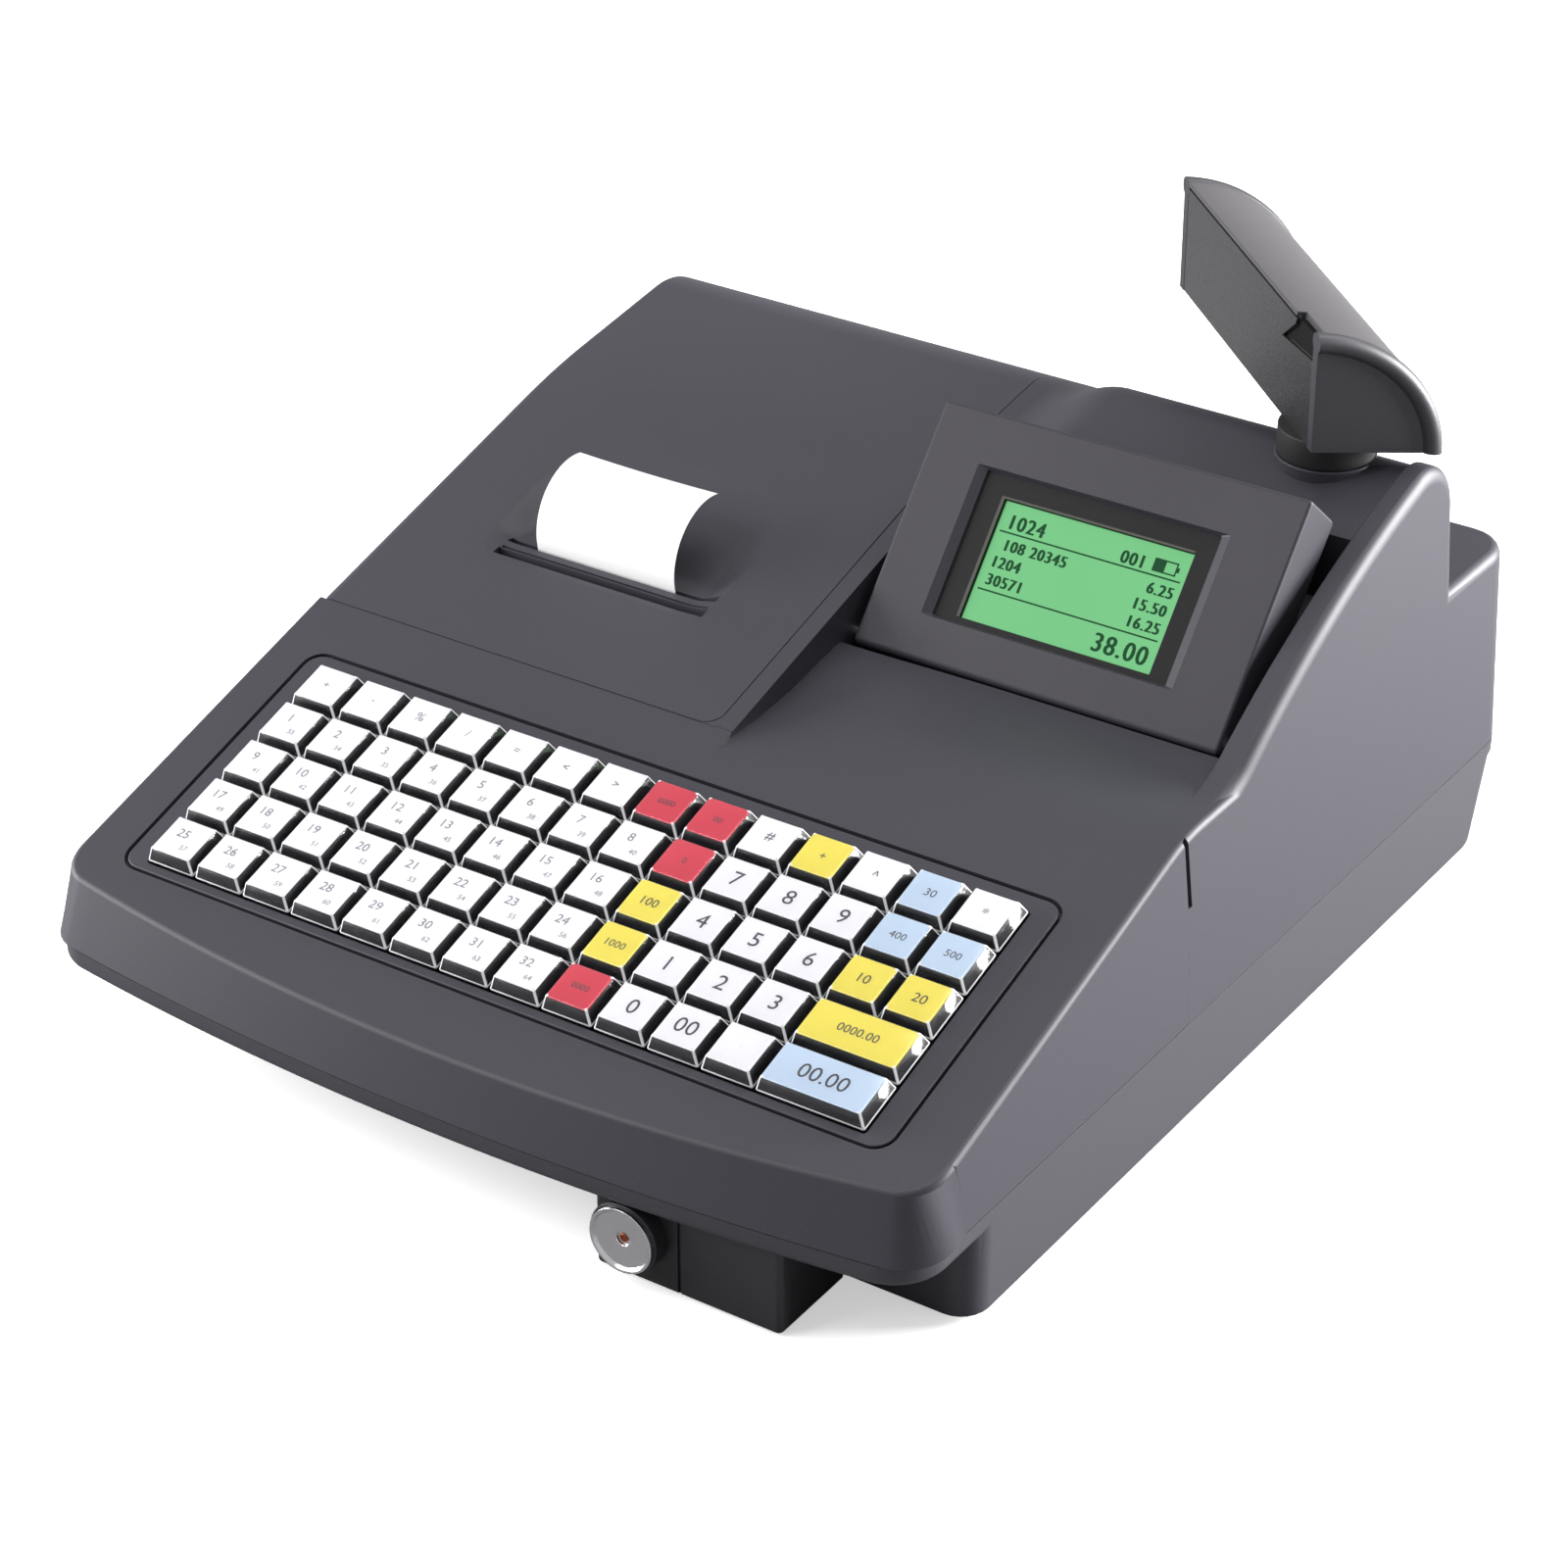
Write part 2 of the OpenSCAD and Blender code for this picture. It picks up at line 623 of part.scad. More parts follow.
module roll_bucket() {
    color(dark) place() {
        yz_prism(print_x - 32, print_x + 32, concat(
            arc([roll_at[0], roll_at[1] + 3], bucket_r + 2, 180, 360, 20),
            arc([roll_at[0], roll_at[1] + 3], bucket_r, 360, 180, 20)));
        for (s = [-1, 1]) yz_prism(print_x + s * 32.9 - 0.9, print_x + s * 32.9 + 0.9,
            [[184, 104], [188, 75], [200, 62], [209, beam_z], [235, beam_z], [244, 62], [256, 75],
                [260, 104]]);
        legs(207, 237);
    }
}

module paper_roll() {
    color(white) place() difference() {
        x_bar(print_x - paper_w / 2, print_x + paper_w / 2, roll_at[0], roll_at[1], roll_r);
        x_bar(print_x - 40, print_x + 40, roll_at[0], roll_at[1], 8);
    }
}

module roll_core() {
    color([0.7, 0.6, 0.45]) place() difference() {
        x_bar(print_x - paper_w / 2, print_x + paper_w / 2, roll_at[0], roll_at[1], 8);
        x_bar(print_x - 40, print_x + 40, roll_at[0], roll_at[1], 6.5);
    }
}

// ---------------------------------------------------------------- printer lid

scoop_x0 = -124;
scoop_x1 = -32;
slot_x0 = -117;
slot_x1 = -33;
scoop_line = [[105, lid_z(105)], [113, 105.6], [121.5, 106.2], [177, lid_z(177)]];
hinge = [284, 117];
hinge_r = 2.5;
bar_z = 105.3;
lid_eyes = [-140, -80, -20];
case_eyes = [-110, -50];

// Section of the lid from its outer face down to the edge of its skirt.
module lid_section(x0, x1) {
    inner = hood_r - lid_deep;
    yz_prism(x0, x1, concat([[lid_y, lid_z0], [crease_y, lid_z(crease_y)]],
        arc(hood_c, hood_r, 90 + hood_angle, 0, 10), [[hood_c[0] + hood_r, shelf_z + 1],
        [hood_c[0] + inner, shelf_z + 1]], arc(hood_c, inner, 0, 90 + hood_angle, 8),
        [[crease_y, lid_z(crease_y) - lid_deep], [lid_y, lid_z0 - lid_deep]]));
}

module printer_lid() {
    color(charcoal) place() difference() {
        intersection() {
            case_mould(0);
            lid_plan(0);
            union() {
                difference() {
                    lid_section(-170, lid_x1);
                    yz_prism(-156, lid_x1 - wall, concat([[lid_y + 4, 80],
                        [lid_y + 4, lid_z(lid_y + 4) - wall], [crease_y, lid_z(crease_y) - wall]],
                        arc(hood_c, hood_r - wall, 90 + hood_angle, 0, 10),
                        [[hood_c[0] + hood_r - wall, 80]]));
                }
                // thicker skin round the scoop
                yz_prism(scoop_x0 - 2, scoop_x1 + 2, [[102, lid_z(102) - 1], [180, lid_z(180) - 1],
                    [180, lid_z(180) - 3.6], [122, 103.2], [112, 102.8], [102, 104]]);
                for (x = lid_eyes) hull() {
                    x_bar(x - 5, x + 5, hinge[0], hinge[1], 4.5);
                    block([x - 5, 282, 121], [x + 5, 290.5, 123]);
                }
            }
        }
        yz_prism(scoop_x0, scoop_x1, concat(scoop_line, [[177, 200], [105, 200]]));
        block([slot_x0, 114.4, 90], [slot_x1, 116.6, 120]);
        block([slot_x0, 118.3, 90], [slot_x1, ticket_y + ticket_t, 120]);
        // groove in which the tear bar stands
        block([slot_x0 + 0.5, 116.9, bar_z], [slot_x1 - 0.5, 118.1, 120]);
        x_bar(-200, 10, hinge[0], hinge[1], hinge_r + 0.05);
        for (x = case_eyes) block([x - 6, 276, 100], [x + 6, 300, hinge[1] + 2.4]);
    }
}

module lid_hinge_rod() {
    color(steel) place() {
        x_bar(-148, -12, hinge[0], hinge[1], hinge_r);
        for (x = case_eyes) {
            x_bar(x - 5, x + 5, hinge[0], hinge[1], 4);
            block([x - 5, 283, shelf_z - wall - 2.6], [x + 5, 286.2, hinge[1]]);
            block([x - 5, 283, shelf_z - wall - 2.6], [x + 5, 302, shelf_z - wall]);
        }
    }
}

module tear_bar() {
    teeth = 42;
    x0 = slot_x0 + 0.5;
    step = (slot_x1 - slot_x0 - 1) / teeth;
    color(steel) place() translate([0, 118.1, bar_z]) rotate([90, 0, 0]) linear_extrude(1.2)
        polygon(concat([[x0, 0]],
            [for (i = [0 : teeth - 1]) for (k = [0, 0.5]) [x0 + (i + k) * step, 2 + 2 * k]],
            [[x0 + teeth * step, 2], [x0 + teeth * step, 0]]));
}

ticket_r = 32.5;
ticket_t = 0.25;
ticket_y = 120;
ticket_foot = 103.3;
ticket_c = [ticket_y + ticket_r, 106.4];

module paper_ticket() {
    color(white) place() yz_prism(print_x - paper_w / 2, print_x + paper_w / 2,
        concat([[ticket_y, ticket_foot]], arc(ticket_c, ticket_r, 180, 103, 16),
            arc(ticket_c, ticket_r - ticket_t, 103, 180, 16), [[ticket_y + ticket_t, ticket_foot]]));
}

// ---------------------------------------------------------------- operator display

lcd_x0 = 10;
lcd_x1 = lcd_x0 + lcd_w;
lcd_a = [135.8, 105.2];
lcd_along = [cos(lcd_angle), sin(lcd_angle)];
lcd_in = [sin(lcd_angle), -cos(lcd_angle)];
lcd_b = lcd_a + lcd_h * lcd_along;
lcd_deep = 22;
lcd_c = lcd_b + lcd_deep * lcd_in;
lcd_axis = [144.6, 103.6];
pin_r = 2;
lcd_pins = [[4, lcd_x0 + 7], [lcd_x1 - 7, well_wall - 0.4]];

// Frame of the operator display's face: s across, t up the face, d out of the face.
module face_frame() {
    translate([lcd_x0, lcd_a[0], lcd_a[1]]) rotate([lcd_angle, 0, 0]) children();
}

window_s = [20.7, 111.3];
window_t = [15, 67];
screen_s = [32, 101];
screen_t = [18, 58.6];

lcd_skin = 2.4;

// A point of the display's section: t up its face, d into the housing.
function lcd_at(t, d) = lcd_a + t * lcd_along + d * lcd_in;

module lcd_housing() {
    outline = [lcd_at(0, 0), lcd_at(lcd_h, 0), lcd_at(lcd_h, lcd_deep), lcd_at(12.6, 21.1), lcd_at(-0.5, 10)];
    color(charcoal) place() difference() {
        intersection() {
            yz_prism(lcd_x0, lcd_x1, outline);
            union() {
                difference() {
                    yz_prism(lcd_x0, lcd_x1, outline);
                    yz_prism(lcd_x0 + lcd_skin, lcd_x1 - lcd_skin, [lcd_at(2.2, lcd_skin),
                        lcd_at(lcd_h - lcd_skin, lcd_skin), lcd_at(lcd_h - lcd_skin, 30), lcd_at(15.5, 30),
                        lcd_at(15.5, 20), lcd_at(3, 12)]);
                }
                for (x = [lcd_x0, lcd_x1 - 8]) x_bar(x, x + 8, lcd_axis[0], lcd_axis[1], 4.6);
            }
        }
        // window with sloping sides
        face_frame() hull() {
            block([window_s[0] + 3, window_t[0] + 2, -4], [window_s[1] - 3, window_t[1] - 2, -3.9]);
            block([window_s[0], window_t[0], 0.1], [window_s[1], window_t[1], 0.2]);
        }
        for (x = [lcd_x0 - 1, lcd_x1 - 8]) x_bar(x, x + 9, lcd_axis[0], lcd_axis[1], pin_r + 0.05);
    }
}

module lcd_bezel() {
    color(dark) place() face_frame() difference() {
        block([window_s[0] - 6, window_t[0] - 6, -4.4], [window_s[1] + 6, window_t[1] + 6, -lcd_skin]);
        block([screen_s[0], screen_t[0], -9], [screen_s[1], screen_t[1], 0]);
    }
}

module lcd_screen() {
    color([0.45, 0.85, 0.5]) place() face_frame() {
        block([screen_s[0] + 0.1, screen_t[0] + 0.1, -5.2], [screen_s[1] - 0.1, screen_t[1] - 0.1, -3.6]);
        block([window_s[0] - 4, window_t[0] - 4, -8], [window_s[1] + 4, window_t[1] + 4, -5.1]);
    }
}

module lcd_back() {
    color(dark) place() yz_prism(lcd_x0 + lcd_skin, lcd_x1 - lcd_skin, [lcd_at(15.5, 19.2),
        lcd_at(lcd_h - lcd_skin, 19.2), lcd_at(lcd_h - lcd_skin, 21.4), lcd_at(15.5, 20.9)]);
}

module lcd_hinge_rod() {
    color(steel) place() for (x = lcd_pins) x_bar(x[0], x[1], lcd_axis[0], lcd_axis[1], pin_r);
}

// ---------------------------------------------------------------- customer display

module cust_frame() {
    translate([pivot[0], pivot[1], cust_z]) rotate([0, 0, cust_turn]) translate([-pivot_along, pivot_deep, 0])
        children();
}

// A quarter round along the display's length: flat face on the left, rounded back on the right.
module quarter(l0, l1, r, low) {
    translate([l0, 0, 0]) rotate([90, 0, 90]) linear_extrude(l1 - l0)
        polygon(concat([[0, low]], arc([0, 0], r, 90, 180, 16), [[-r, low]]));
}

module display_shell() {
    color(charcoal) place() cust_frame() difference() {
        quarter(6, cust_l - 6, cust_r - 0.8, 0);
        translate([0, -wall, wall]) quarter(6 - 1, cust_l - 5, cust_r - 5.6, 0);
        block([14, -5, 12], [cust_l - 14, 5, 34]);
    }
}

module display_window() {
    color(dark) place() cust_frame() block([14, -1.6, 12], [cust_l - 14, -0.1, 34]);
}

module display_caps() {
    color(charcoal) place() cust_frame() {
        quarter(0, 6, cust_r, 0);
        quarter(cust_l - 6, cust_l, cust_r, 0);
    }
}

module display_neck() {
    color(dark) place() translate([pivot[0], pivot[1], 0]) {
        translate([0, 0, neck_z]) cylinder(h = cust_z - neck_z, r = neck_r, $fn = 64);
        translate([0, 0, 144]) cylinder(h = neck_z - 143, r = spigot_r, $fn = 48);
    }
}

lower_case();
upper_case();
rubber_feet();
case_screws();
keyboard_panel();
key_guide_plate();
dome_sheet();
keyboard_board();
main_board();
port_panel();
reader_housing();
reader_bezel();
reader_cup();
reader_contact();
printer_frame();
thermal_head();
feed_motor();
roll_bucket();
platen_roller();
platen_gear();
idler_gear();
motor_pinion();
paper_roll();
roll_core();
printer_lid();
lid_hinge_rod();
tear_bar();
paper_ticket();
lcd_housing();
lcd_back();
lcd_screen();
lcd_bezel();
lcd_hinge_rod();
display_neck();
display_shell();
display_caps();
display_window();
keys_row_1();
keys_row_2();
keys_row_3();
keys_row_4();
keys_row_5();
keys_red();
keys_yellow();
keys_blue();
key_subtotal();
key_total();
key_0();
key_1();
key_2();
key_3();
key_4();
key_5();
key_6();
key_7();
key_8();
key_9();
key_double_zero();
key_point();
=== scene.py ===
"""A counter register: sloping keyboard, ticket printer, operator screen, customer display and key reader."""

import math

import bmesh
import bpy
import numpy as np
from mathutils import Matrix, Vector


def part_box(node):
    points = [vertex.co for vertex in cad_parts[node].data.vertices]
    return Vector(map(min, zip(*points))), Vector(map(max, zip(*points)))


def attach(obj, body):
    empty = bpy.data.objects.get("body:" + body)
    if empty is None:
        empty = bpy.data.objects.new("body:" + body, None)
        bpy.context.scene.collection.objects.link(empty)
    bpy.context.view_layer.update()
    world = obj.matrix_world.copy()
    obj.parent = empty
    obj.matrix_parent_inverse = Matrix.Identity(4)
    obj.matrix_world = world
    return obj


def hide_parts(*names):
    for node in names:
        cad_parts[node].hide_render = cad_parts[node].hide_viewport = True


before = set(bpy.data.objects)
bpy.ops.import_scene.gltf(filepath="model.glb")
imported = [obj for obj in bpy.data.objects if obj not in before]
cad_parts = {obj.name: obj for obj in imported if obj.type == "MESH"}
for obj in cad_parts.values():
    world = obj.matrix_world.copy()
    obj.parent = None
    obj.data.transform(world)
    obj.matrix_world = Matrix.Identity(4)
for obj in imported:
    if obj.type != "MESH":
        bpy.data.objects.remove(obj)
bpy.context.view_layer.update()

# Lengths are millimetres: x from the middle of the case, y from the keyboard's middle, z from the counter.
BASE_FRONT = -76.5
KEYBOARD_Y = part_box("lower_case")[0].y * 1000 - BASE_FRONT


def metres(points):
    """Points in millimetres from the keyboard's middle become metres in the frame."""
    return (np.asarray(points, float) + [0, KEYBOARD_Y, 0]) / 1000


# ---------------------------------------------------------------- Counter, lamps and camera
# Plain studio light: a strong lamp low behind the right side lifts that wall, softer ones hang behind,
# overhead and to the left, and the room is white. The pale counter glows, so only close shadows show.


def placed(name, data):
    """A new object of the scene that holds a mesh, a lamp, a curve or the camera."""
    made = bpy.data.objects.new(name, data)
    bpy.context.scene.collection.objects.link(made)
    return made


def aimed(made, place, way):
    """Put an object at a place in metres, with its -Z axis pointing the given way."""
    made.location = place
    made.rotation_mode = "QUATERNION"
    made.rotation_quaternion = Vector(way).to_track_quat("-Z", "Y")


def fed(tree, node, **inputs):
    """A node with its inputs linked to sockets or set to values. An input named _0 is the first one."""
    for key, value in inputs.items():
        socket = node.inputs[int(key[1:]) if key[1:].isdigit() else key.replace("_", " ")]
        if isinstance(value, bpy.types.NodeSocket):
            tree.links.new(value, socket)
        else:
            socket.default_value = value
    return node


def wired(tree, kind, settings=(), **inputs):
    """A new node with its settings and its inputs."""
    node = tree.nodes.new(kind)
    for key, value in dict(settings).items():
        setattr(node, key, value)
    return fed(tree, node, **inputs)


def worked(tree, operation, *values):
    """The result of a sum on one to three values."""
    inputs = {f"_{k}": value for k, value in enumerate(values)}
    return wired(tree, "ShaderNodeMath", {"operation": operation}, **inputs).outputs[0]


def ranged(tree, value, low, high):
    """A value of 0 to 1 made to run from low to high."""
    return wired(tree, "ShaderNodeMapRange", Value=value, To_Min=low, To_Max=high).outputs["Result"]


def mixed(tree, factor, first, second):
    """A colour between two others."""
    return wired(tree, "ShaderNodeMix", {"data_type": "RGBA"}, _0=factor, _6=first, _7=second).outputs[2]


def new_paint(name):
    """A material, its node tree and its shader."""
    paint = bpy.data.materials.new(name)
    paint.use_nodes = True
    return paint, paint.node_tree, paint.node_tree.nodes["Principled BSDF"]


def counter():
    """A flat square of 8 m at z = 0, white to the camera and grey to the light that it throws back."""
    half = 4.0
    mesh = bpy.data.meshes.new("counter")
    corners = [[-half, -half, 0], [half, -half, 0], [half, half, 0], [-half, half, 0]]
    mesh.from_pydata(corners, [], [[0, 1, 2, 3]])
    paint, tree, shader = new_paint("counter white")
    seen = wired(tree, "ShaderNodeLightPath").outputs["Is Camera Ray"]
    fed(tree, shader, Base_Color=mixed(tree, seen, (0.3, 0.3, 0.31, 1), (1, 1, 1, 1)), Roughness=0.9,
        Specular_IOR_Level=0.1, Emission_Color=seen, Emission_Strength=0.5)
    mesh.materials.append(paint)
    placed("counter", mesh)


def lamp(name, place, size, power, target=(0, 0, 0.08)):
    """A square area lamp at a place, turned towards a target, both in metres."""
    light = bpy.data.lights.new(name, "AREA")
    light.size, light.energy = size, power
    aimed(placed(name, light), place, Vector(target) - Vector(place))


def studio():
    """The white room, its lamps and the camera. The room lights the object less brightly than it is seen, and
    what mirrors it shows it between the two."""
    world = bpy.data.worlds.new("room")
    bpy.context.scene.world = world
    world.use_nodes = True
    tree = world.node_tree
    ray = wired(tree, "ShaderNodeLightPath").outputs
    seen = worked(tree, "MAXIMUM", worked(tree, "MULTIPLY", ray["Is Glossy Ray"], 0.4), ray["Is Camera Ray"])
    fed(tree, tree.nodes["Background"], Color=(1, 1, 1, 1), Strength=ranged(tree, seen, 0.28, 1.0))
    lamp("lamp right", (1.5, 1.45, 0.42), 1.0, 168)
    lamp("lamp behind", (0.6, 1.3, 1.8), 0.9, 14)
    lamp("lamp overhead", (0.1, 0.0, 2.2), 1.2, 17)
    lamp("lamp above", (-1.1, -1.4, 1.8), 1.2, 22)
    lamp("lamp low left", (-1.0, -0.5, 0.2), 0.7, 21, (-0.1, -0.2, 0.05))
    bpy.context.scene.view_settings.view_transform = "Standard"

    azimuth, elevation = math.radians(33.74), math.radians(30.16)
    data = bpy.data.cameras.new("camera")
    data.lens, data.sensor_width = 98.08, 36
    data.clip_start, data.clip_end = 0.05, 30
    camera = placed("camera", data)
    level = math.cos(elevation)
    way = (-math.sin(azimuth) * level, math.cos(azimuth) * level, -math.sin(elevation))
    aimed(camera, metres([664.1, -882.9, 755.2]), way)
    bpy.context.scene.camera = camera


counter()
studio()

# ---------------------------------------------------------------- Lower case
# The tray that the register stands on, one moulding of charcoal ABS with upright walls, a bowed lip in front
# and a plinth set back under it. Four rubber feet and five screws are underneath.

CASE_HALF, CASE_BACK, CORNER_R = 162.0, 317.0, 18.0
BOW_R, PLINTH_FRONT = 1050.0, -34.0
SEAM_Z, WALL = 38.0, 2.6


def grid(points, round_rows=False, round_cols=False):
    """Quads over an array of points, rows by columns; either direction can close on itself."""
    rows, cols = points.shape[:2]
    i = np.arange(rows if round_rows else rows - 1)[:, None]
    j = np.arange(cols if round_cols else cols - 1)[None, :]
    down, across = (i + 1) % rows, (j + 1) % cols
    corners = np.broadcast_arrays(i * cols + j, i * cols + across, down * cols + across, down * cols + j)
    return points.reshape(-1, 3), np.stack(corners, -1).reshape(-1, 4).tolist()


def capped(rings):
    """A closed solid through rings of points, with a flat face over each end."""
    points, faces = grid(np.array(rings), round_cols=True)
    n = len(rings[0])
    return points, faces + [list(range(n)), list(range(len(points) - n, len(points)))[::-1]]


def rectangle(left, low, right, high):
    """The corners of a rectangle, anticlockwise."""
    return [[left, low], [right, low], [right, high], [left, high]]


def arc(middle, radius, start, end, steps=12):
    """Points of a plane on an arc from start to end, in degrees."""
    a = np.radians(np.linspace(start, end, steps + 1))
    return np.column_stack([middle[0] + radius * np.cos(a), middle[1] + radius * np.sin(a)]).tolist()


def circle(middle, radius, steps=32):
    """Points of a plane round a whole circle."""
    return arc(middle, radius, 0, 360, steps)[:-1]


def rounded(corners, radii, inset=0.0, steps=6):
    """An outline from its sharp corners, drawn in by inset and with each corner turned on its radius. A
    radius of None keeps the corner as it is. Corners run anticlockwise; an inward one's radius grows as the
    outline shrinks."""
    c = np.asarray(corners, float)
    ahead = np.roll(c, -1, 0) - c
    ahead /= np.linalg.norm(ahead, axis=1)[:, None]
    behind = np.roll(ahead, 1, 0)
    turn = np.arctan2(behind[:, 0] * ahead[:, 1] - behind[:, 1] * ahead[:, 0], (behind * ahead).sum(1))
    left = np.stack([-behind[:, 1], behind[:, 0]], 1)
    c = c + inset * (left - behind * np.tan(turn / 2)[:, None])
    outline = []
    for k in range(len(c)):
        if radii[k] is None:
            outline.append(c[k][None])
            continue
        way = np.sign(turn[k])
        r = max(radii[k] - inset * way, 0.02)
        start = c[k] - behind[k] * r * math.tan(abs(turn[k]) / 2)
        a = np.linspace(0, turn[k], steps + 1)[:, None]
        outline.append(start + way * r * left[k] * (1 - np.cos(a)) + way * r * behind[k] * np.sin(a))
    return np.concatenate(outline)


def carried(outline, axis, start, end, r0, r1, steps):
    """A closed solid: an outline, a function of how far it is drawn in, is carried from start to end along an
    axis. An end with a radius r is a quarter round: drawn in by r(1 - sin a) after a way of r(1 - cos a)."""
    a = np.linspace(0, math.pi / 2, steps + 1)
    edge = list(zip(1 - np.sin(a), 1 - np.cos(a)))
    near = [(r0 * inset, start + r0 * run) for inset, run in edge] if r0 else [(0.0, start)]
    far = [(r1 * inset, end - r1 * run) for inset, run in edge[::-1]] if r1 else [(0.0, end)]
    return capped([np.insert(np.array(outline(inset), float), axis, at, axis=1) for inset, at in near + far])


def bar(corners, x0, x1, r0=0.0, r1=0.0, radii=None):
    """A closed bar along X, from the corners of its section in Y and Z. r0 and r1 round its ends."""
    radii = radii or [None] * len(corners)
    return carried(lambda inset: rounded(corners, radii, inset), 0, x0, x1, r0, r1, 6)


def prism(outline, z0, z1, r0=0.0, r1=0.0):
    """A closed upright solid, from its outline seen from above, a function of how far it is drawn in."""
    return carried(outline, 2, z0, z1, r0, r1, 5)


def upright(corners, z0, z1, radii=None, r0=0.0, r1=0.0, inset=0.0):
    """A closed upright solid, from the corners of its outline seen from above, drawn in by inset."""
    radii = radii or [None] * len(corners)
    return prism(lambda d: rounded(corners, radii, inset + d), z0, z1, r0, r1)


def post(middle, z0, z1, radius, steps=48, r1=0.0):
    """A round upright post."""
    return prism(lambda inset: circle(middle, radius - inset, steps), z0, z1, 0, r1)


def shade(red, green, blue):
    """A colour given as it shows on a screen, 0 to 255, made linear."""
    c = np.array([red, green, blue]) / 255
    c = np.where(c <= 0.04045, c / 12.92, ((c + 0.055) / 1.055) ** 2.4)
    return (*c.tolist(), 1.0)


def noise(tree, scale, detail, roughness=0.5):
    """Noise over the object's own coordinates, with scale cells to the metre."""
    place = wired(tree, "ShaderNodeTexCoord").outputs["Object"]
    return wired(tree, "ShaderNodeTexNoise", Vector=place, Scale=scale, Detail=detail,
                 Roughness=roughness).outputs["Fac"]


def spark_texture():
    """The fine eroded grain of moulded plastic: cells of noise at Size per metre, raised by Height. It also
    gives the colour a slow drift and a faint fleck, and makes the valleys a little rougher."""
    tree = bpy.data.node_groups.new("spark texture", "ShaderNodeTree")
    for side, kind, names in (
            ("INPUT", "Color", ["Colour"]), ("INPUT", "Float", ["Size", "Fleck", "Roughness"]),
            ("OUTPUT", "Color", ["Colour"]), ("OUTPUT", "Float", ["Height", "Roughness"])):
        for name in names:
            tree.interface.new_socket(name, in_out=side, socket_type="NodeSocket" + kind)
    given = wired(tree, "NodeGroupInput").outputs
    fine = noise(tree, given["Size"], 3.0, 0.62)
    slow = noise(tree, 14.0, 3.0)
    middle = worked(tree, "SUBTRACT", worked(tree, "MULTIPLY_ADD", slow, 0.45, fine), 0.725)
    swing = worked(tree, "MULTIPLY_ADD", middle, given["Fleck"], 1.0)
    tint = wired(tree, "ShaderNodeVectorMath", {"operation": "SCALE"}, _0=given["Colour"], Scale=swing)
    wired(tree, "NodeGroupOutput", Colour=tint.outputs[0], Height=fine,
          Roughness=worked(tree, "MULTIPLY_ADD", middle, -0.16, given["Roughness"]))
    return tree


SPARK = spark_texture()


def plastic(name, colour, roughness=0.5, size=2600.0, depth=0.00004, fleck=0.35, specular=0.5, coat=0.0):
    """Moulded plastic: the spark texture on a principled shader, depth metres high."""
    paint, tree, shader = new_paint(name)
    grain = wired(tree, "ShaderNodeGroup", {"node_tree": SPARK}, Colour=colour, Size=size, Fleck=fleck,
                  Roughness=roughness).outputs
    bump = wired(tree, "ShaderNodeBump", Height=grain["Height"], Distance=depth, Strength=1.0)
    fed(tree, shader, Base_Color=grain["Colour"], Roughness=grain["Roughness"], Normal=bump.outputs["Normal"],
        Specular_IOR_Level=specular, Coat_Weight=coat, Coat_Roughness=0.25)
    return paint


CHARCOAL = plastic("charcoal case plastic", shade(55, 54, 62), specular=0.4)
BASE_CHARCOAL = plastic("charcoal base plastic", shade(54, 53, 60), roughness=0.55)


def made_solid(name, shape):
    """A plain mesh object from points in millimetres, welded and with its faces outwards."""
    points, faces = shape
    mesh = bpy.data.meshes.new(name)
    mesh.from_pydata(metres(points).tolist(), [], faces)
    work = bmesh.new()
    work.from_mesh(mesh)
    bmesh.ops.remove_doubles(work, verts=work.verts, dist=2e-6)
    bmesh.ops.recalc_face_normals(work, faces=work.faces)
    work.to_mesh(mesh)
    work.free()
    return placed(name, mesh)


def assigned(made, body, hides):
    """A piece rides on a body and hides the nodes that it stands for."""
    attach(made, body)
    if hides:
        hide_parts(*hides)


def carved(name, first, steps, body, paint, hides=(), edge=0.4, bend=30):
    """One solid from several. Each step unites a shape with the first one, or takes it away where the step
    says "-". Then the sharp edges are broken by edge millimetres, and large flat faces lead the shading."""
    made = made_solid(name, first)
    tools = [made_solid("tool", shape) for sign, shape in steps]
    for (sign, shape), tool in zip(steps, tools):
        join = made.modifiers.new("join", "BOOLEAN")
        join.operation, join.object, join.solver = "DIFFERENCE" if sign == "-" else "UNION", tool, "EXACT"
    mesh = bpy.data.meshes.new_from_object(made.evaluated_get(bpy.context.evaluated_depsgraph_get()))
    for tool in tools:
        bpy.data.objects.remove(tool)
    made.modifiers.clear()
    made.data = mesh
    work = bmesh.new()
    work.from_mesh(mesh)
    bmesh.ops.remove_doubles(work, verts=work.verts, dist=4e-6)
    bmesh.ops.dissolve_degenerate(work, edges=work.edges, dist=2e-6)
    bmesh.ops.dissolve_limit(work, angle_limit=math.radians(0.05), verts=work.verts, edges=work.edges)
    work.to_mesh(mesh)
    work.free()
    soft = made.modifiers.new("broken edges", "BEVEL")
    soft.width, soft.segments, soft.limit_method = edge / 1000, 2, "ANGLE"
    soft.angle_limit = math.radians(bend)
    soft.use_clamp_overlap = True
    mesh.shade_smooth()
    mesh.set_sharp_from_angle(angle=math.radians(bend + 15))
    made.modifiers.new("flat faces first", "WEIGHTED_NORMAL").keep_sharp = True
    mesh.materials.clear()
    mesh.materials.append(paint)
    assigned(made, body, hides)


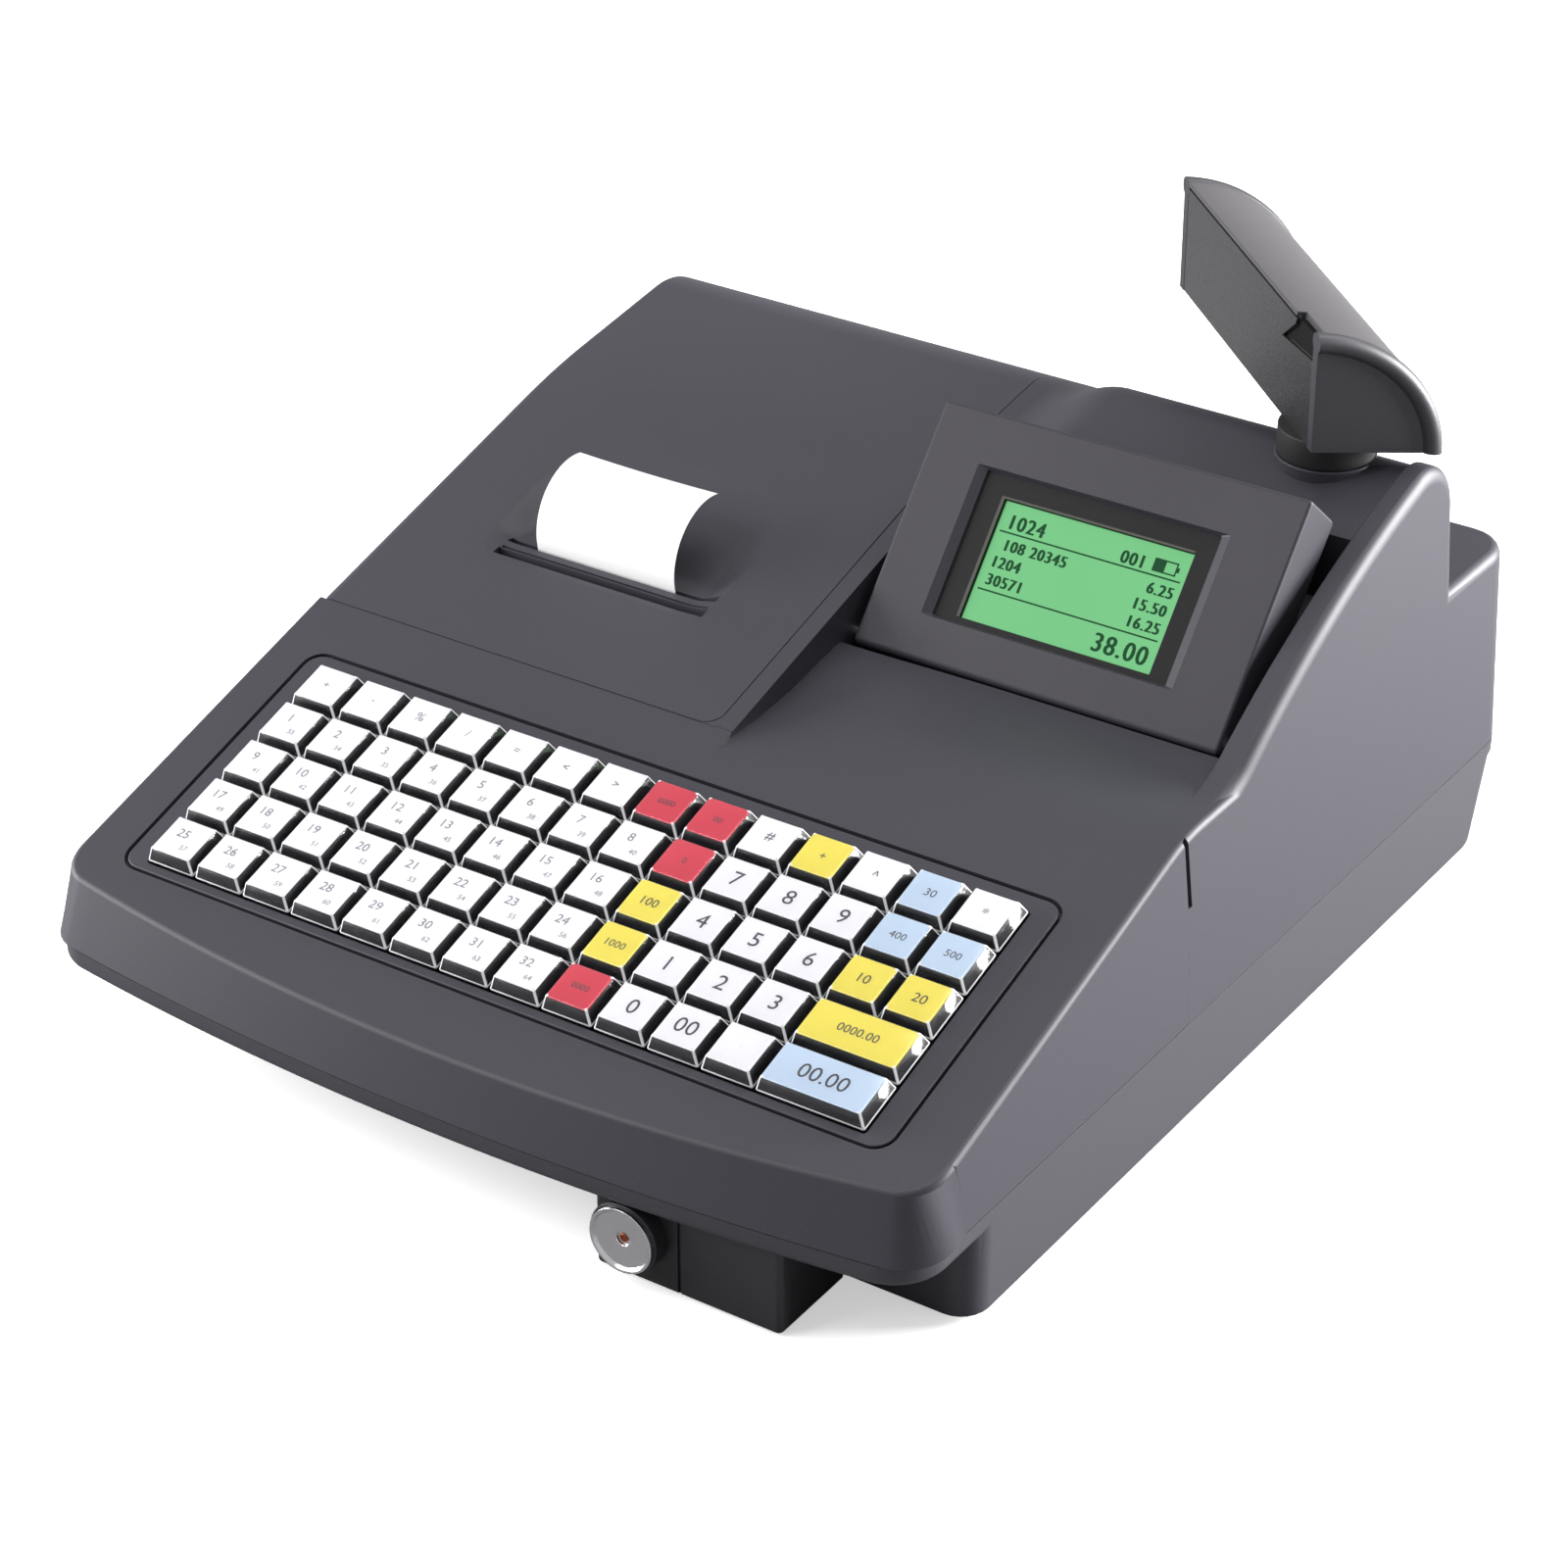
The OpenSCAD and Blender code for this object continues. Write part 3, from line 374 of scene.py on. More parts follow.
def lip_outline(inset):
    """The case from above, drawn in by inset: a front bowed on BOW_R between round corners. Each arc keeps
    its middle, and only its radius shrinks."""
    x, back, bow_y = CASE_HALF - CORNER_R, CASE_BACK - CORNER_R, BASE_FRONT + BOW_R
    side = math.asin(x / (BOW_R - CORNER_R))
    front = bow_y - (BOW_R - CORNER_R) * math.cos(side)
    side = math.degrees(side)
    outline = arc((0, bow_y), BOW_R - inset, -90 - side, side - 90, 40)
    for middle, start, end in (((x, front), side - 90, 0), ((x, back), 0, 90), ((-x, back), 90, 180),
                               ((-x, front), 180, 270 - side)):
        outline += arc(middle, CORNER_R - inset, start, end, 10)
    return outline


def tray(inset, z0, z1, front, r0=0.0):
    """The lower case from a front line back: bowed where it is the lip, straight at the plinth."""
    if front == BASE_FRONT:
        return prism(lambda d: lip_outline(inset + d), z0, z1, r0)
    corners = rectangle(-CASE_HALF, front, CASE_HALF, CASE_BACK)
    return upright(corners, z0, z1, [10, 10, CORNER_R, CORNER_R], r0, inset=inset)


def slanted(shape):
    """Under the back the tray rises: y is drawn in by 14 mm at z = 2, less and less up to z = 15."""
    p = shape[0].copy()
    p[:, 1] -= 14 * np.clip((15 - p[:, 2]) / 13, 0, 1) * np.clip((p[:, 1] - 290) / 10, 0, 1)
    return p, shape[1]


SCREW_HOLES = [(-140, 0), (140, 0), (-140, 285), (140, 285), (0, 285)]
carved("lower_case_shell", tray(0, 30.5, 37.7, BASE_FRONT, r0=3),
       [("+", slanted(tray(0, 2, 37.7, PLINTH_FRONT, r0=1.6))), ("-", tray(WALL, 33.1, 50, BASE_FRONT)),
        ("-", slanted(tray(WALL, 4.6, 50, PLINTH_FRONT)))]
       + [("-", post(at, 1, 6, 1.7, 24)) for at in SCREW_HOLES],
       "case", BASE_CHARCOAL, hides=["lower_case"], edge=0.5)

# ---------------------------------------------------------------- Upper case
# The cover, one textured charcoal moulding screwed to the lower case from below. It slopes up from a bowed
# front past the keyboard to a terrace, rises in a wing on the right, and is open on the left for the printer.

DECK_ANGLE = math.radians(16.8)
DECK_Z = 77.8
WING_FROM = 148.4


def on_deck(v, w):
    """Y and z of a point v up the keyboard slope and w above it."""
    return [v * math.cos(DECK_ANGLE) - w * math.sin(DECK_ANGLE),
            DECK_Z + v * math.sin(DECK_ANGLE) + w * math.cos(DECK_ANGLE)]


def drafted(shape):
    """The side walls lean in above the seam: x shrinks by (z - 38) tan 2.4 degrees at the wall and not at all
    inside of WING_FROM. The rear wall leans in by 2.6 degrees in the same way."""
    p = shape[0].copy()
    rise = np.maximum(p[:, 2] - SEAM_Z, -8)
    side = np.clip((np.abs(p[:, 0]) - WING_FROM) / (CASE_HALF - WING_FROM), 0, 1)
    rear = np.clip((p[:, 1] - 288) / 29, 0, 1)
    p[:, 0] -= np.sign(p[:, 0]) * rise * math.tan(math.radians(2.4)) * side
    p[:, 1] -= rise * math.tan(math.radians(2.6)) * rear
    return p, shape[1]


def nose():
    """The front of the deck, from the cut at v = -46 round both corners. A path runs in the deck plane along
    the side, the corner and the bow. At each of its points the wall leans out by a, where tan a = tan 33.4
    (n.v)^2 for the outward normal n, and a ball of 2.4 mm rolls between the deck and the wall. The wall ends
    at the seam."""
    cut, low, corner, bow, ball = -46.0, -74.17, 14.0, 916.0, 2.4
    side = math.asin((CASE_HALF - corner) / (bow - corner))
    centre_v = low + bow
    corner_v = centre_v - (bow - corner) * math.cos(side)
    a = np.linspace(math.pi, math.pi * 1.5 - side, 13)
    left = np.column_stack([np.cos(a), np.sin(a)])
    right = (left * [-1, 1])[::-1]
    a = np.linspace(-side, side, 49)[1:-1]
    middle = np.column_stack([np.sin(a), -np.cos(a)])
    n = np.concatenate([[[-1.0, 0.0]], left, middle, right, [[1.0, 0.0]]])
    edge = np.concatenate([[[-CASE_HALF, cut]], [corner - CASE_HALF, corner_v] + corner * left,
                           [0, centre_v] + bow * middle, [CASE_HALF - corner, corner_v] + corner * right,
                           [[CASE_HALF, cut]]])
    lean = np.arctan(math.tan(math.radians(33.4)) * n[:, 1] ** 2)
    reach = ball * np.tan((math.pi / 2 - lean) / 2)
    rows = []
    for turn in np.linspace(0, 1, 8):
        a = turn * (math.pi / 2 - lean)
        out = -reach + ball * np.sin(a)
        rows.append(np.column_stack([edge + n * out[:, None], -ball * (1 - np.cos(a))]))
    last = rows[-1]
    down = np.column_stack([n * np.sin(lean)[:, None], -np.cos(lean)])
    height, fall = on_deck(*last[:, 1:].T)[1], on_deck(*down[:, 1:].T)[1] - DECK_Z
    rows.append(last + down * ((SEAM_Z - height) / fall)[:, None])
    across, up, out = np.moveaxis(np.array(rows), -1, 0)
    points, faces = grid(np.stack([across, *on_deck(up, out)], -1))
    count, width = across.shape
    faces.append(list(range(width)))
    faces.append([(count - 1) * width + k for k in range(width)][::-1])
    faces.append([k * width for k in range(count)][::-1] + [k * width + width - 1 for k in range(count)])
    return drafted((points, faces))


LID_FRONT, LID_Z, LID_SLOPE = 73.0, 100.0, math.radians(15.5)
HOOD_TILT, HOOD_R, HOOD_Y, CREASE_Y = 8.2, 26.0, 262.0, 200.3
HOOD_SLOPE = math.radians(HOOD_TILT)
TERRACE_Z, TERRACE_END = 104.6, 135.2
SHELF_Z = 110.0


def lid_height(y):
    """Z of the lid's top before its crease: it rises from LID_Z at the front edge by LID_SLOPE."""
    return LID_Z + (y - LID_FRONT) * math.tan(LID_SLOPE)


CREASE_Z = lid_height(CREASE_Y)
HOOD_Z = CREASE_Z + (HOOD_Y - CREASE_Y) * math.tan(HOOD_SLOPE)
HOOD_MIDDLE = [HOOD_Y + HOOD_R * math.sin(HOOD_SLOPE), HOOD_Z - HOOD_R * math.cos(HOOD_SLOPE)]
HOOD_BACK = HOOD_MIDDLE[0] + HOOD_R


def hood_arc(inset=0.0):
    """Y and z over the round back of the hood, from where its slope ends down to the level of its middle."""
    return arc(HOOD_MIDDLE, HOOD_R - inset, 90 + HOOD_TILT, 0, 14)


def parabola(a, b, c, steps):
    """Points on a parabola that leaves a towards b and comes to c from b."""
    t = np.linspace(0, 1, steps + 1)[:, None]
    return (1 - t) ** 2 * a + 2 * t * (1 - t) * b + t ** 2 * c


def soft_crease(inset=0.0):
    """The lid's slope eases from 15.5 to 8.2 degrees over 16 mm each side of the crease, on a parabola."""
    reach = 16.0
    a = np.array([CREASE_Y - reach, lid_height(CREASE_Y - reach)])
    b = np.array([CREASE_Y, CREASE_Z])
    c = np.array([CREASE_Y + reach, CREASE_Z + reach * math.tan(HOOD_SLOPE)])
    return (parabola(a, b, c, 8) - [0, inset]).tolist()


def lid_top(inset=0.0, start=LID_FRONT):
    """Y and z along the top of the lid, drawn down by inset, from start to the back of the hood."""
    return [[start, lid_height(start) - inset]] + soft_crease(inset) + hood_arc(inset)


def toward(degrees):
    """The direction at an angle in a plane, one long."""
    return np.array([math.cos(math.radians(degrees)), math.sin(math.radians(degrees))])


# The wing rises from the terrace on a small arc, goes up a long one and over its crest on a third. The block
# behind the operator display has the same top, 1.5 mm lower.
WING_MIDDLE, WING_R, WING_START, WING_END = np.array([332.17, -203.91]), 375.16, 123.06, 104.06
SWEEP_R, CREST_R, CREST_END = 36.5, 19.0, 6
SWEEP_MIDDLE = WING_MIDDLE + (WING_R + SWEEP_R) * toward(WING_START)
CREST_MIDDLE = WING_MIDDLE + (WING_R - CREST_R) * toward(WING_END)
WING_TOP = ([[86, 96], [97, 104.5]] + arc(SWEEP_MIDDLE, SWEEP_R, -90, WING_START - 180, 8)
            + arc(WING_MIDDLE, WING_R, WING_START, WING_END, 20)[1:]
            + arc(CREST_MIDDLE, CREST_R, WING_END, CREST_END)[1:])
BLOCK_FRONT, BLOCK_BACK, BLOCK_DROP = 209.5, 266.5, 1.5
BLOCK_START = math.degrees(math.acos((BLOCK_FRONT - WING_MIDDLE[0]) / (WING_R - BLOCK_DROP)))
BLOCK_TOP = (arc(WING_MIDDLE, WING_R - BLOCK_DROP, BLOCK_START, WING_END, 8)
             + arc(CREST_MIDDLE, CREST_R - BLOCK_DROP, WING_END, CREST_END)[1:])


def slab(x0, x1, top, back, floor, r0=0.0, r1=0.0):
    """A bar whose top follows a line of y and z from the front to its back, down to a floor."""
    return drafted(bar([[top[0][0], floor], [back, floor], [back, SHELF_Z - 4]] + top[::-1], x0, x1, r0, r1))


def smooth(t):
    """A step from 0 to 1 with level ends, 3t^2 - 2t^3."""
    return t * t * (3 - 2 * t)


def ramp():
    """The saddle between the hood and the block. The section eases from the hood's to the block's over x =
    5.4 to 42.7, by a smooth step, point by point along lines of equal length."""
    count, low, high = 40, 5.4, 42.7

    def even(line):
        """The line as points at equal distances."""
        p = np.array(line)
        run = np.concatenate([[0], np.cumsum(np.linalg.norm(np.diff(p, axis=0), axis=1))])
        at = np.linspace(0, run[-1], count)
        return np.column_stack([np.interp(at, run, p[:, 0]), np.interp(at, run, p[:, 1])])

    hood = [p for p in lid_top() if p[0] > BLOCK_FRONT]
    hood_z = np.interp(BLOCK_FRONT, *np.transpose(lid_top()))
    first = even([[BLOCK_FRONT, hood_z]] + hood + [[HOOD_BACK, SHELF_Z - 2]])
    last = even(BLOCK_TOP + [[BLOCK_BACK, SHELF_Z - 2]])
    t = np.linspace(0, 1, 25)[:, None, None]
    yz = first * (1 - smooth(t)) + last * smooth(t) - [0, 0.04]
    rows = np.concatenate([np.broadcast_to(low + (high - low) * t, (25, count, 1)), yz], -1)
    foot = rows[:, [0, -1]]
    foot[..., 2] = 60
    return capped(np.concatenate([foot[:, :1], rows, foot[:, 1:]], 1))


def deck_body():
    """The sloping deck and the terrace. Beside the printer the terrace sinks by 5.5 f(x) g(y) mm: f falls
    from 1 at the cheek to 0 over 64 mm, g rises over y = 62 to 92 and falls by 85% over y = 95 to 135."""
    crossing = (TERRACE_Z - DECK_Z) / math.tan(DECK_ANGLE)
    level = [[y, TERRACE_Z] for y in range(131, 103, -4)]
    slope = [on_deck(v, 0) for v in range(77, 53, -4)]
    corners = [[-38, 27], [TERRACE_END, 27], [TERRACE_END, TERRACE_Z]] + level
    radii = [None] * len(corners) + [74] + [None] * (len(slope) + 1)
    corners += [[crossing, TERRACE_Z]] + slope + [on_deck(-46.6, 0)]
    a = np.linspace(0, math.pi / 2, 6)
    edge, run = 2.4 * (1 - np.sin(a)), 2.4 * (1 - np.cos(a))
    flat = [6.0, *np.linspace(6.6, 72, 20), 100]
    insets = np.concatenate([edge, np.zeros(len(flat)), edge[::-1]])
    x = np.concatenate([run - CASE_HALF, flat, CASE_HALF - run[::-1]])
    rings = []
    for inset, at in zip(insets, x):
        yz = rounded(corners, radii, inset, 10)
        side = np.clip(1 - (at - 6.6) / 64, 0, 1) if at > 6.3 else 0
        rise, fall = np.clip((yz[:, 0] - 62) / 30, 0, 1), np.clip((yz[:, 0] - 95) / 40, 0, 1)
        sink = 5.5 * smooth(side) * smooth(rise) * (1 - 0.85 * smooth(fall))
        yz[:, 1] -= np.where(yz[:, 1] > 60, sink, 0)
        rings.append(np.insert(yz, 0, at, axis=1))
    return drafted(capped(rings))


NECK_PIVOT, HINGE = (120.5, 244.0), (284.0, 117.0)
ROOM_GAP, LID_DEEP = 0.4, 9.0
ROOM_DEEP = LID_DEEP + ROOM_GAP
LID_CORNER = (-6.5, 79.0)


def printer_room():
    """The room that the lid closes: ROOM_DEEP under its top, ROOM_GAP before its front and over the shelf."""
    front, shelf = LID_FRONT - ROOM_GAP, SHELF_Z + ROOM_GAP
    return bar([[front, 200], [front, LID_Z - ROOM_DEEP]] + soft_crease(ROOM_DEEP) + hood_arc(ROOM_DEEP)
               + [[HOOD_BACK - ROOM_DEEP, shelf], [294, shelf], [314, 200]], -175, -0.1)


def corner_fill():
    """The case behind the round front corner of the lid, up to the lid's slope."""
    outline = [[-6.5, 72.6], [-0.1, 72.6], [-0.1, 79]] + arc(LID_CORNER, 6.4, 0, -90, 8)[1:-1]
    points, faces = upright(outline, 60, 62)
    points[:, 2] = np.where(points[:, 2] > 61, lid_height(points[:, 1]), 60)
    return points, faces


def on_keyboard(shape):
    """A shape given as u across, v up the slope and w out of the deck, put in the keyboard's place."""
    u, v, w = shape[0].T
    return np.column_stack([u + KEY_MIDDLE, *on_deck(v, w)]), shape[1]


def plate(width, length, radius, w0, w1, middle=0.0, r1=0.0):
    """A plate with round corners, in the keyboard's plane."""
    a, b = width / 2, length / 2
    corners = rectangle(-a, middle - b, a, middle + b)
    return on_keyboard(upright(corners, w0, w1, [radius] * 4, r1=r1))


KEY_MIDDLE = -1.5
PANEL_W, PANEL_L, PANEL_V, PANEL_T = 283.2, 103.2, 1.5, 2.4
printer_side = slab(0.04 - CASE_HALF, 6.3, lid_top(), HOOD_BACK, 29, r0=7)
hood_end = slab(2, 25, [p for p in lid_top() if p[0] > 215], HOOD_BACK, 60, r1=9)
display_well = bar([[130, 28], [BLOCK_FRONT + 3, 28], [BLOCK_FRONT + 3, 126], [BLOCK_FRONT, 126], [151, 96],
                    [TERRACE_END, TERRACE_Z - 6], [130, TERRACE_Z - 6]], 6, 152)
block = slab(42, 152, BLOCK_TOP, BLOCK_BACK, 60)
wing = slab(WING_FROM, CASE_HALF + 0.04, WING_TOP, BLOCK_BACK, 30, r0=1.0, r1=5)
shelf = drafted(upright(rectangle(-CASE_HALF, 200, CASE_HALF, CASE_BACK), 31, SHELF_Z,
                        [None, None, CORNER_R, CORNER_R], r1=4, inset=0.02))
neck_socket = post(NECK_PIVOT, 120, 158.9, 16.5, r1=0.5)
below_seam = upright(rectangle(-300, -300, 300, 500), -50, SEAM_Z)
printer_hold = bar(rectangle(75, 20, 287, 200), -156, -3.5)
eye_way = bar(circle(HINGE, 10.4), -175, -0.1)
panel_bed = plate(PANEL_W + 2.4, PANEL_L + 2.4, 7.2, -PANEL_T, 20, PANEL_V)
panel_hole = plate(PANEL_W - 10, PANEL_L - 8, 4, -36, 1, PANEL_V)
display_bore = post(NECK_PIVOT, 100, 180, 8.05)
port_window = bar(rectangle(300, 50, 340, 80), 20, 140)
wall_groove = bar([[89.8, 79], [92.0, 79], [88.6, 108], [86.4, 108]], 157.9, 175)
carved("upper_case_shell", deck_body(),
       [("+", shape) for shape in (nose(), printer_side, hood_end, ramp(), display_well, block, wing, shelf,
                                   neck_socket)]
       + [("-", shape) for shape in (below_seam, printer_room(), printer_hold, eye_way, panel_bed, panel_hole,
                                     display_bore, port_window, wall_groove)] + [("+", corner_fill())],
       "case", CHARCOAL, hides=["upper_case"], edge=0.35)

# ---------------------------------------------------------------- Keyboard
# A separate frame plate, flush in the sloping deck, holds 68 keys. Each key is a dark plunger with a printed
# label on it and a clear snap-on cap over both. The cap's edges are a whiter, less clear plastic: a painted
# highlight for the light that they catch.


def piece(name, shape, body, paint, hides=(), bend=38, edges=None):
    """A mesh object from points in millimetres. Only edges sharper than bend degrees stay hard. The faces
    that edges marks get its paint."""
    made = made_solid(name, shape)
    mesh = made.data
    mesh.materials.append(paint)
    if edges is not None:
        mesh.materials.append(edges[0])
        mesh.polygons.foreach_set("material_index", edges[1].astype(np.int32))
    mesh.shade_smooth()
    mesh.set_sharp_from_angle(angle=math.radians(bend))
    assigned(made, body, hides)


def moved(shape, x=0.0, y=0.0, z=0.0):
    """A shape shifted by x, y and z."""
    return shape[0] + [x, y, z], shape[1]


def joined(shapes):
    """Several shapes as one, each face counting on from the points of the shapes before it."""
    start = np.concatenate([[0], np.cumsum([len(p) for p, f in shapes])[:-1]]).tolist()
    return (np.concatenate([p for p, f in shapes]),
            [[k + shift for k in face] for (p, f), shift in zip(shapes, start) for face in f])


def stepped(width, length, rows, corner, steps=3):
    """A closed block with round upright corners. Each row is a height and how far it is drawn in there."""
    rings = []
    for height, inset in rows:
        a, b = width / 2 - inset, length / 2 - inset
        rings.append(np.insert(rounded(rectangle(-a, -b, a, b), [corner] * 4, 0, steps), 2, height, axis=1))
    return capped(rings)


def lettering(text, size, thick, spacing=1.0):
    """Numbers and plain marks as a solid mesh in X and Y, centred on the origin, size millimetres high."""
    curve = bpy.data.curves.new("print", "FONT")
    curve.body, curve.size, curve.extrude, curve.resolution_u = text, size * 1.38, thick / 2, 3
    curve.space_character = spacing
    curve.align_x, curve.align_y = "CENTER", "CENTER"
    holder = placed("print", curve)
    mesh = bpy.data.meshes.new_from_object(holder.evaluated_get(bpy.context.evaluated_depsgraph_get()))
    points = np.empty(len(mesh.vertices) * 3)
    mesh.vertices.foreach_get("co", points)
    points = points.reshape(-1, 3)
    points[:, :2] -= (points[:, :2].min(0) + points[:, :2].max(0)) / 2
    faces = [list(polygon.vertices) for polygon in mesh.polygons]
    bpy.data.objects.remove(holder)
    bpy.data.meshes.remove(mesh)
    return points, faces


def clear_plastic(name, colour, roughness, transmission):
    """Clear moulded plastic with a fine drift in its gloss."""
    paint, tree, shader = new_paint(name)
    fed(tree, shader, Base_Color=colour, Transmission_Weight=transmission, IOR=1.49,
        Roughness=ranged(tree, noise(tree, 260.0, 2.0), roughness * 0.6, roughness * 1.5))
    return paint


def label_paper(name, colour):
    """Printed label paper: matt, with a very faint fleck."""
    return plastic(name, colour, roughness=0.55, size=900, depth=0.000008, fleck=0.06)


PITCH_X, PITCH_Y, KEY_TOP, KEY_GAP = 19.05, 18.75, 5.6, 0.95
PANEL = plastic("charcoal keyboard frame", shade(54, 53, 61), specular=0.4)
KEY_DARK = plastic("dark key plastic", shade(44, 44, 48), roughness=0.35, size=1500, depth=0.00001)
KEY_CLEAR = clear_plastic("clear key cap", (1, 1, 1, 1), 0.1, 1.0)
# The caps' edges are made whiter and less clear than the caps: a painted highlight.
KEY_EDGE_PAINTED_HIGHLIGHT = clear_plastic("clear key cap edge whitened as painted highlight", (0.95, 0.95, 0.97, 1), 0.2, 0.15)
KEY_PRINT = plastic("key print grey", shade(72, 72, 80), roughness=0.6, depth=0.000005)
KEY_FAINT = plastic("key print pale grey", shade(128, 128, 138), roughness=0.6, depth=0.000005)
LABELS = {name: label_paper(name + " label", shade(*tone)) for name, tone in {
    "white": (252, 252, 255), "red": (222, 64, 88), "yellow": (246, 232, 98), "blue": (206, 224, 244),
    "number": (248, 247, 252)}.items()}

carved("keyboard_frame", plate(PANEL_W, PANEL_L, 6, -PANEL_T, 0, PANEL_V, r1=0.5),
       [("-", plate(14 * PITCH_X - 0.1, 5 * PITCH_Y - 0.1, 1.0, -9, 9))],
       "case", PANEL, hides=["keyboard_panel"], edge=0.35)

CAP_ROWS = [[0.3, 0.25], [0.45, 0], [1.0, 0], [1.15, 0.1], [5.15, 1.35], [5.38, 1.5], [5.53, 1.75],
            [KEY_TOP, 2.05]]
CORE_ROWS = [[-4.2, 1.6], [0.3, 1.6], [0.5, 0.75], [1.2, 0.55], [4.9, 1.75], [5.02, 1.9]]
LABEL_ROWS = [[5.0, 1.7], [5.22, 1.7]]
STEM_ROWS = [[-12.3, 0.2], [-12.1, 0], [-4.1, 0]]


def key_middle(column, row):
    """X and y of a key's middle in the keyboard's plane. Columns and rows count from the back left."""
    return (column - 6.5) * PITCH_X, (2 - row) * PITCH_Y


def rim_faces():
    """Which faces of one cap are its edges, whitened as a painted highlight: the lowest three rows and, above
    them, the two faces that turn each corner, but not the flat one after these. Neither of the two end faces
    is an edge."""
    corners, turning = 4, 2
    mark = np.zeros((len(CAP_ROWS) - 1, corners, turning + 1), bool)
    mark[:3] = True
    mark[:, :, :turning] = True
    return np.concatenate([mark.ravel(), [False, False]])


def key_group(node, tint, keys, span=1):
    """The keys of one node: cores, labels, caps and what is printed on the labels. Each key's place gives its
    prints: a text, its height, where it stands from the middle of the key, and whether it is a pale one."""
    body, slot = node + "_body", "key_" + tint
    width, length = span * PITCH_X - KEY_GAP, PITCH_Y - KEY_GAP
    core, label, cap = [
        [moved(stepped(width, length, rows, corner, 2), *key_middle(*place)) for place in keys]
        for rows, corner in ((CORE_ROWS, 0.5), (LABEL_ROWS, 0.6), (CAP_ROWS, 0.6))]
    core += [moved(stepped(5, 5, STEM_ROWS, 0.4), *key_middle(*place)) for place in keys]
    piece(node + "_core", on_keyboard(joined(core)), body, KEY_DARK, hides=[node])
    piece(node + "_label", on_keyboard(joined(label)), body, LABELS[tint])
    piece(node + "_cap", on_keyboard(joined(cap)), body, KEY_CLEAR, bend=60,
          edges=(KEY_EDGE_PAINTED_HIGHLIGHT, np.tile(rim_faces(), len(keys))))
    for pale, name, paint in ((False, "_print", KEY_PRINT), (True, "_second_print", KEY_FAINT)):
        words = [moved(lettering(text, size, 0.04), *key_middle(*place) + np.array([x, y]), 5.24)
                 for place, prints in keys.items() for text, size, x, y, is_pale in prints if is_pale == pale]
        if words:
            piece(node + name, on_keyboard(joined(words)), body, paint)


def big(text, size=5.8):
    """One number in the middle of a label."""
    return [(text, size, 0.2, 0.1, False)]


def two_numbers(number):
    """A number and a smaller second one, 32 higher, in pale print."""
    return [(str(number), 3.4, -1.4, 1.9, True), (str(number + 32), 2.0, 2.4, -3.4, True)]


TOP_ROW = {0: "+", 1: "-", 2: "%", 3: "/", 4: "=", 5: "<", 6: ">", 9: "#", 11: "^", 13: "*"}
key_group("keys_row_1", "white", {(column, 0): [(mark, 3.6 if mark in "%#*^" else 3.0, 0, 0.4, column < 5)]
                                  for column, mark in TOP_ROW.items()})
for row in range(1, 5):
    key_group(f"keys_row_{row + 1}", "white", {(column, row): two_numbers(8 * row - 7 + column)
                                               for column in range(8)})
key_group("keys_red", "red", {(7, 0): big("0000", 2.3), (8, 0): big("00", 2.3), (8, 1): big("0", 2.3),
                              (8, 4): big("0000", 2.3)})
key_group("keys_yellow", "yellow", {(10, 0): big("+", 3.0), (8, 2): big("100", 3.3), (8, 3): big("1000", 2.8),
                                    (12, 2): big("10", 3.6), (13, 2): big("20", 3.6)})
key_group("keys_blue", "blue", {(12, 0): big("30", 3.0), (12, 1): big("400", 2.8), (13, 1): big("500", 2.8)})
key_group("key_subtotal", "yellow", {(12.5, 3): big("0000.00", 3.2)}, span=2)
key_group("key_total", "blue", {(12.5, 4): big("00.00", 5.6)}, span=2)
for digit in (7, 8, 9, 4, 5, 6, 1, 2, 3):
    key_group(f"key_{digit}", "number", {(9 + (digit - 1) % 3, 3 - (digit - 1) // 3): big(str(digit))})
key_group("key_0", "number", {(9, 4): big("0")})
key_group("key_double_zero", "number", {(10, 4): big("00")})
key_group("key_point", "number", {(11, 4): big(".", 1.2)})

# ---------------------------------------------------------------- Clerk key reader
# A black moulded block under the lip of the lower case. A collar in its face carries a steel cup with a
# sprung copper contact, which a clerk's key touches.

READER = (66.5, -67.0, 18.0)


def turned(profile, origin=READER, along=(0, -1, 0), up=(0, 0, 1), steps=72):
    """A turned part. Its profile is pairs of a distance from the origin along its axis and a radius."""
    profile = np.array(profile, float)[:, None]
    a = np.linspace(0, 2 * math.pi, steps, endpoint=False)[:, None]
    ring = np.cos(a) * [1, 0, 0] + np.sin(a) * np.array(up)
    return capped(np.array(origin) + profile[..., :1] * along + profile[..., 1:] * ring)


def eased(profile, radius=0.4):
    """The corners of an open profile turned on a small radius, each by a parabola."""
    p = np.array(profile, float)
    out = [p[0]]
    for before, corner, after in zip(p[:-2], p[1:-1], p[2:]):
        a, b = before - corner, after - corner
        la, lb = np.linalg.norm(a), np.linalg.norm(b)
        reach = min(radius, la / 2.2, lb / 2.2)
        out += list(parabola(corner + a / la * reach, corner, corner + b / lb * reach, 4))
    return np.array(out + [p[-1]])


def brushed_metal(name, colour, roughness):
    """Machined metal: a fine grain in its height, its gloss and its tone."""
    paint, tree, shader = new_paint(name)
    lines, dark = noise(tree, 900.0, 4.0), (*[c * 0.85 for c in colour[:3]], 1)
    bump = wired(tree, "ShaderNodeBump", Height=lines, Distance=0.00001, Strength=0.6)
    fed(tree, shader, Metallic=1.0, Roughness=ranged(tree, lines, roughness * 0.7, roughness * 1.4),
        Base_Color=mixed(tree, lines, dark, colour), Normal=bump.outputs["Normal"])
    return paint


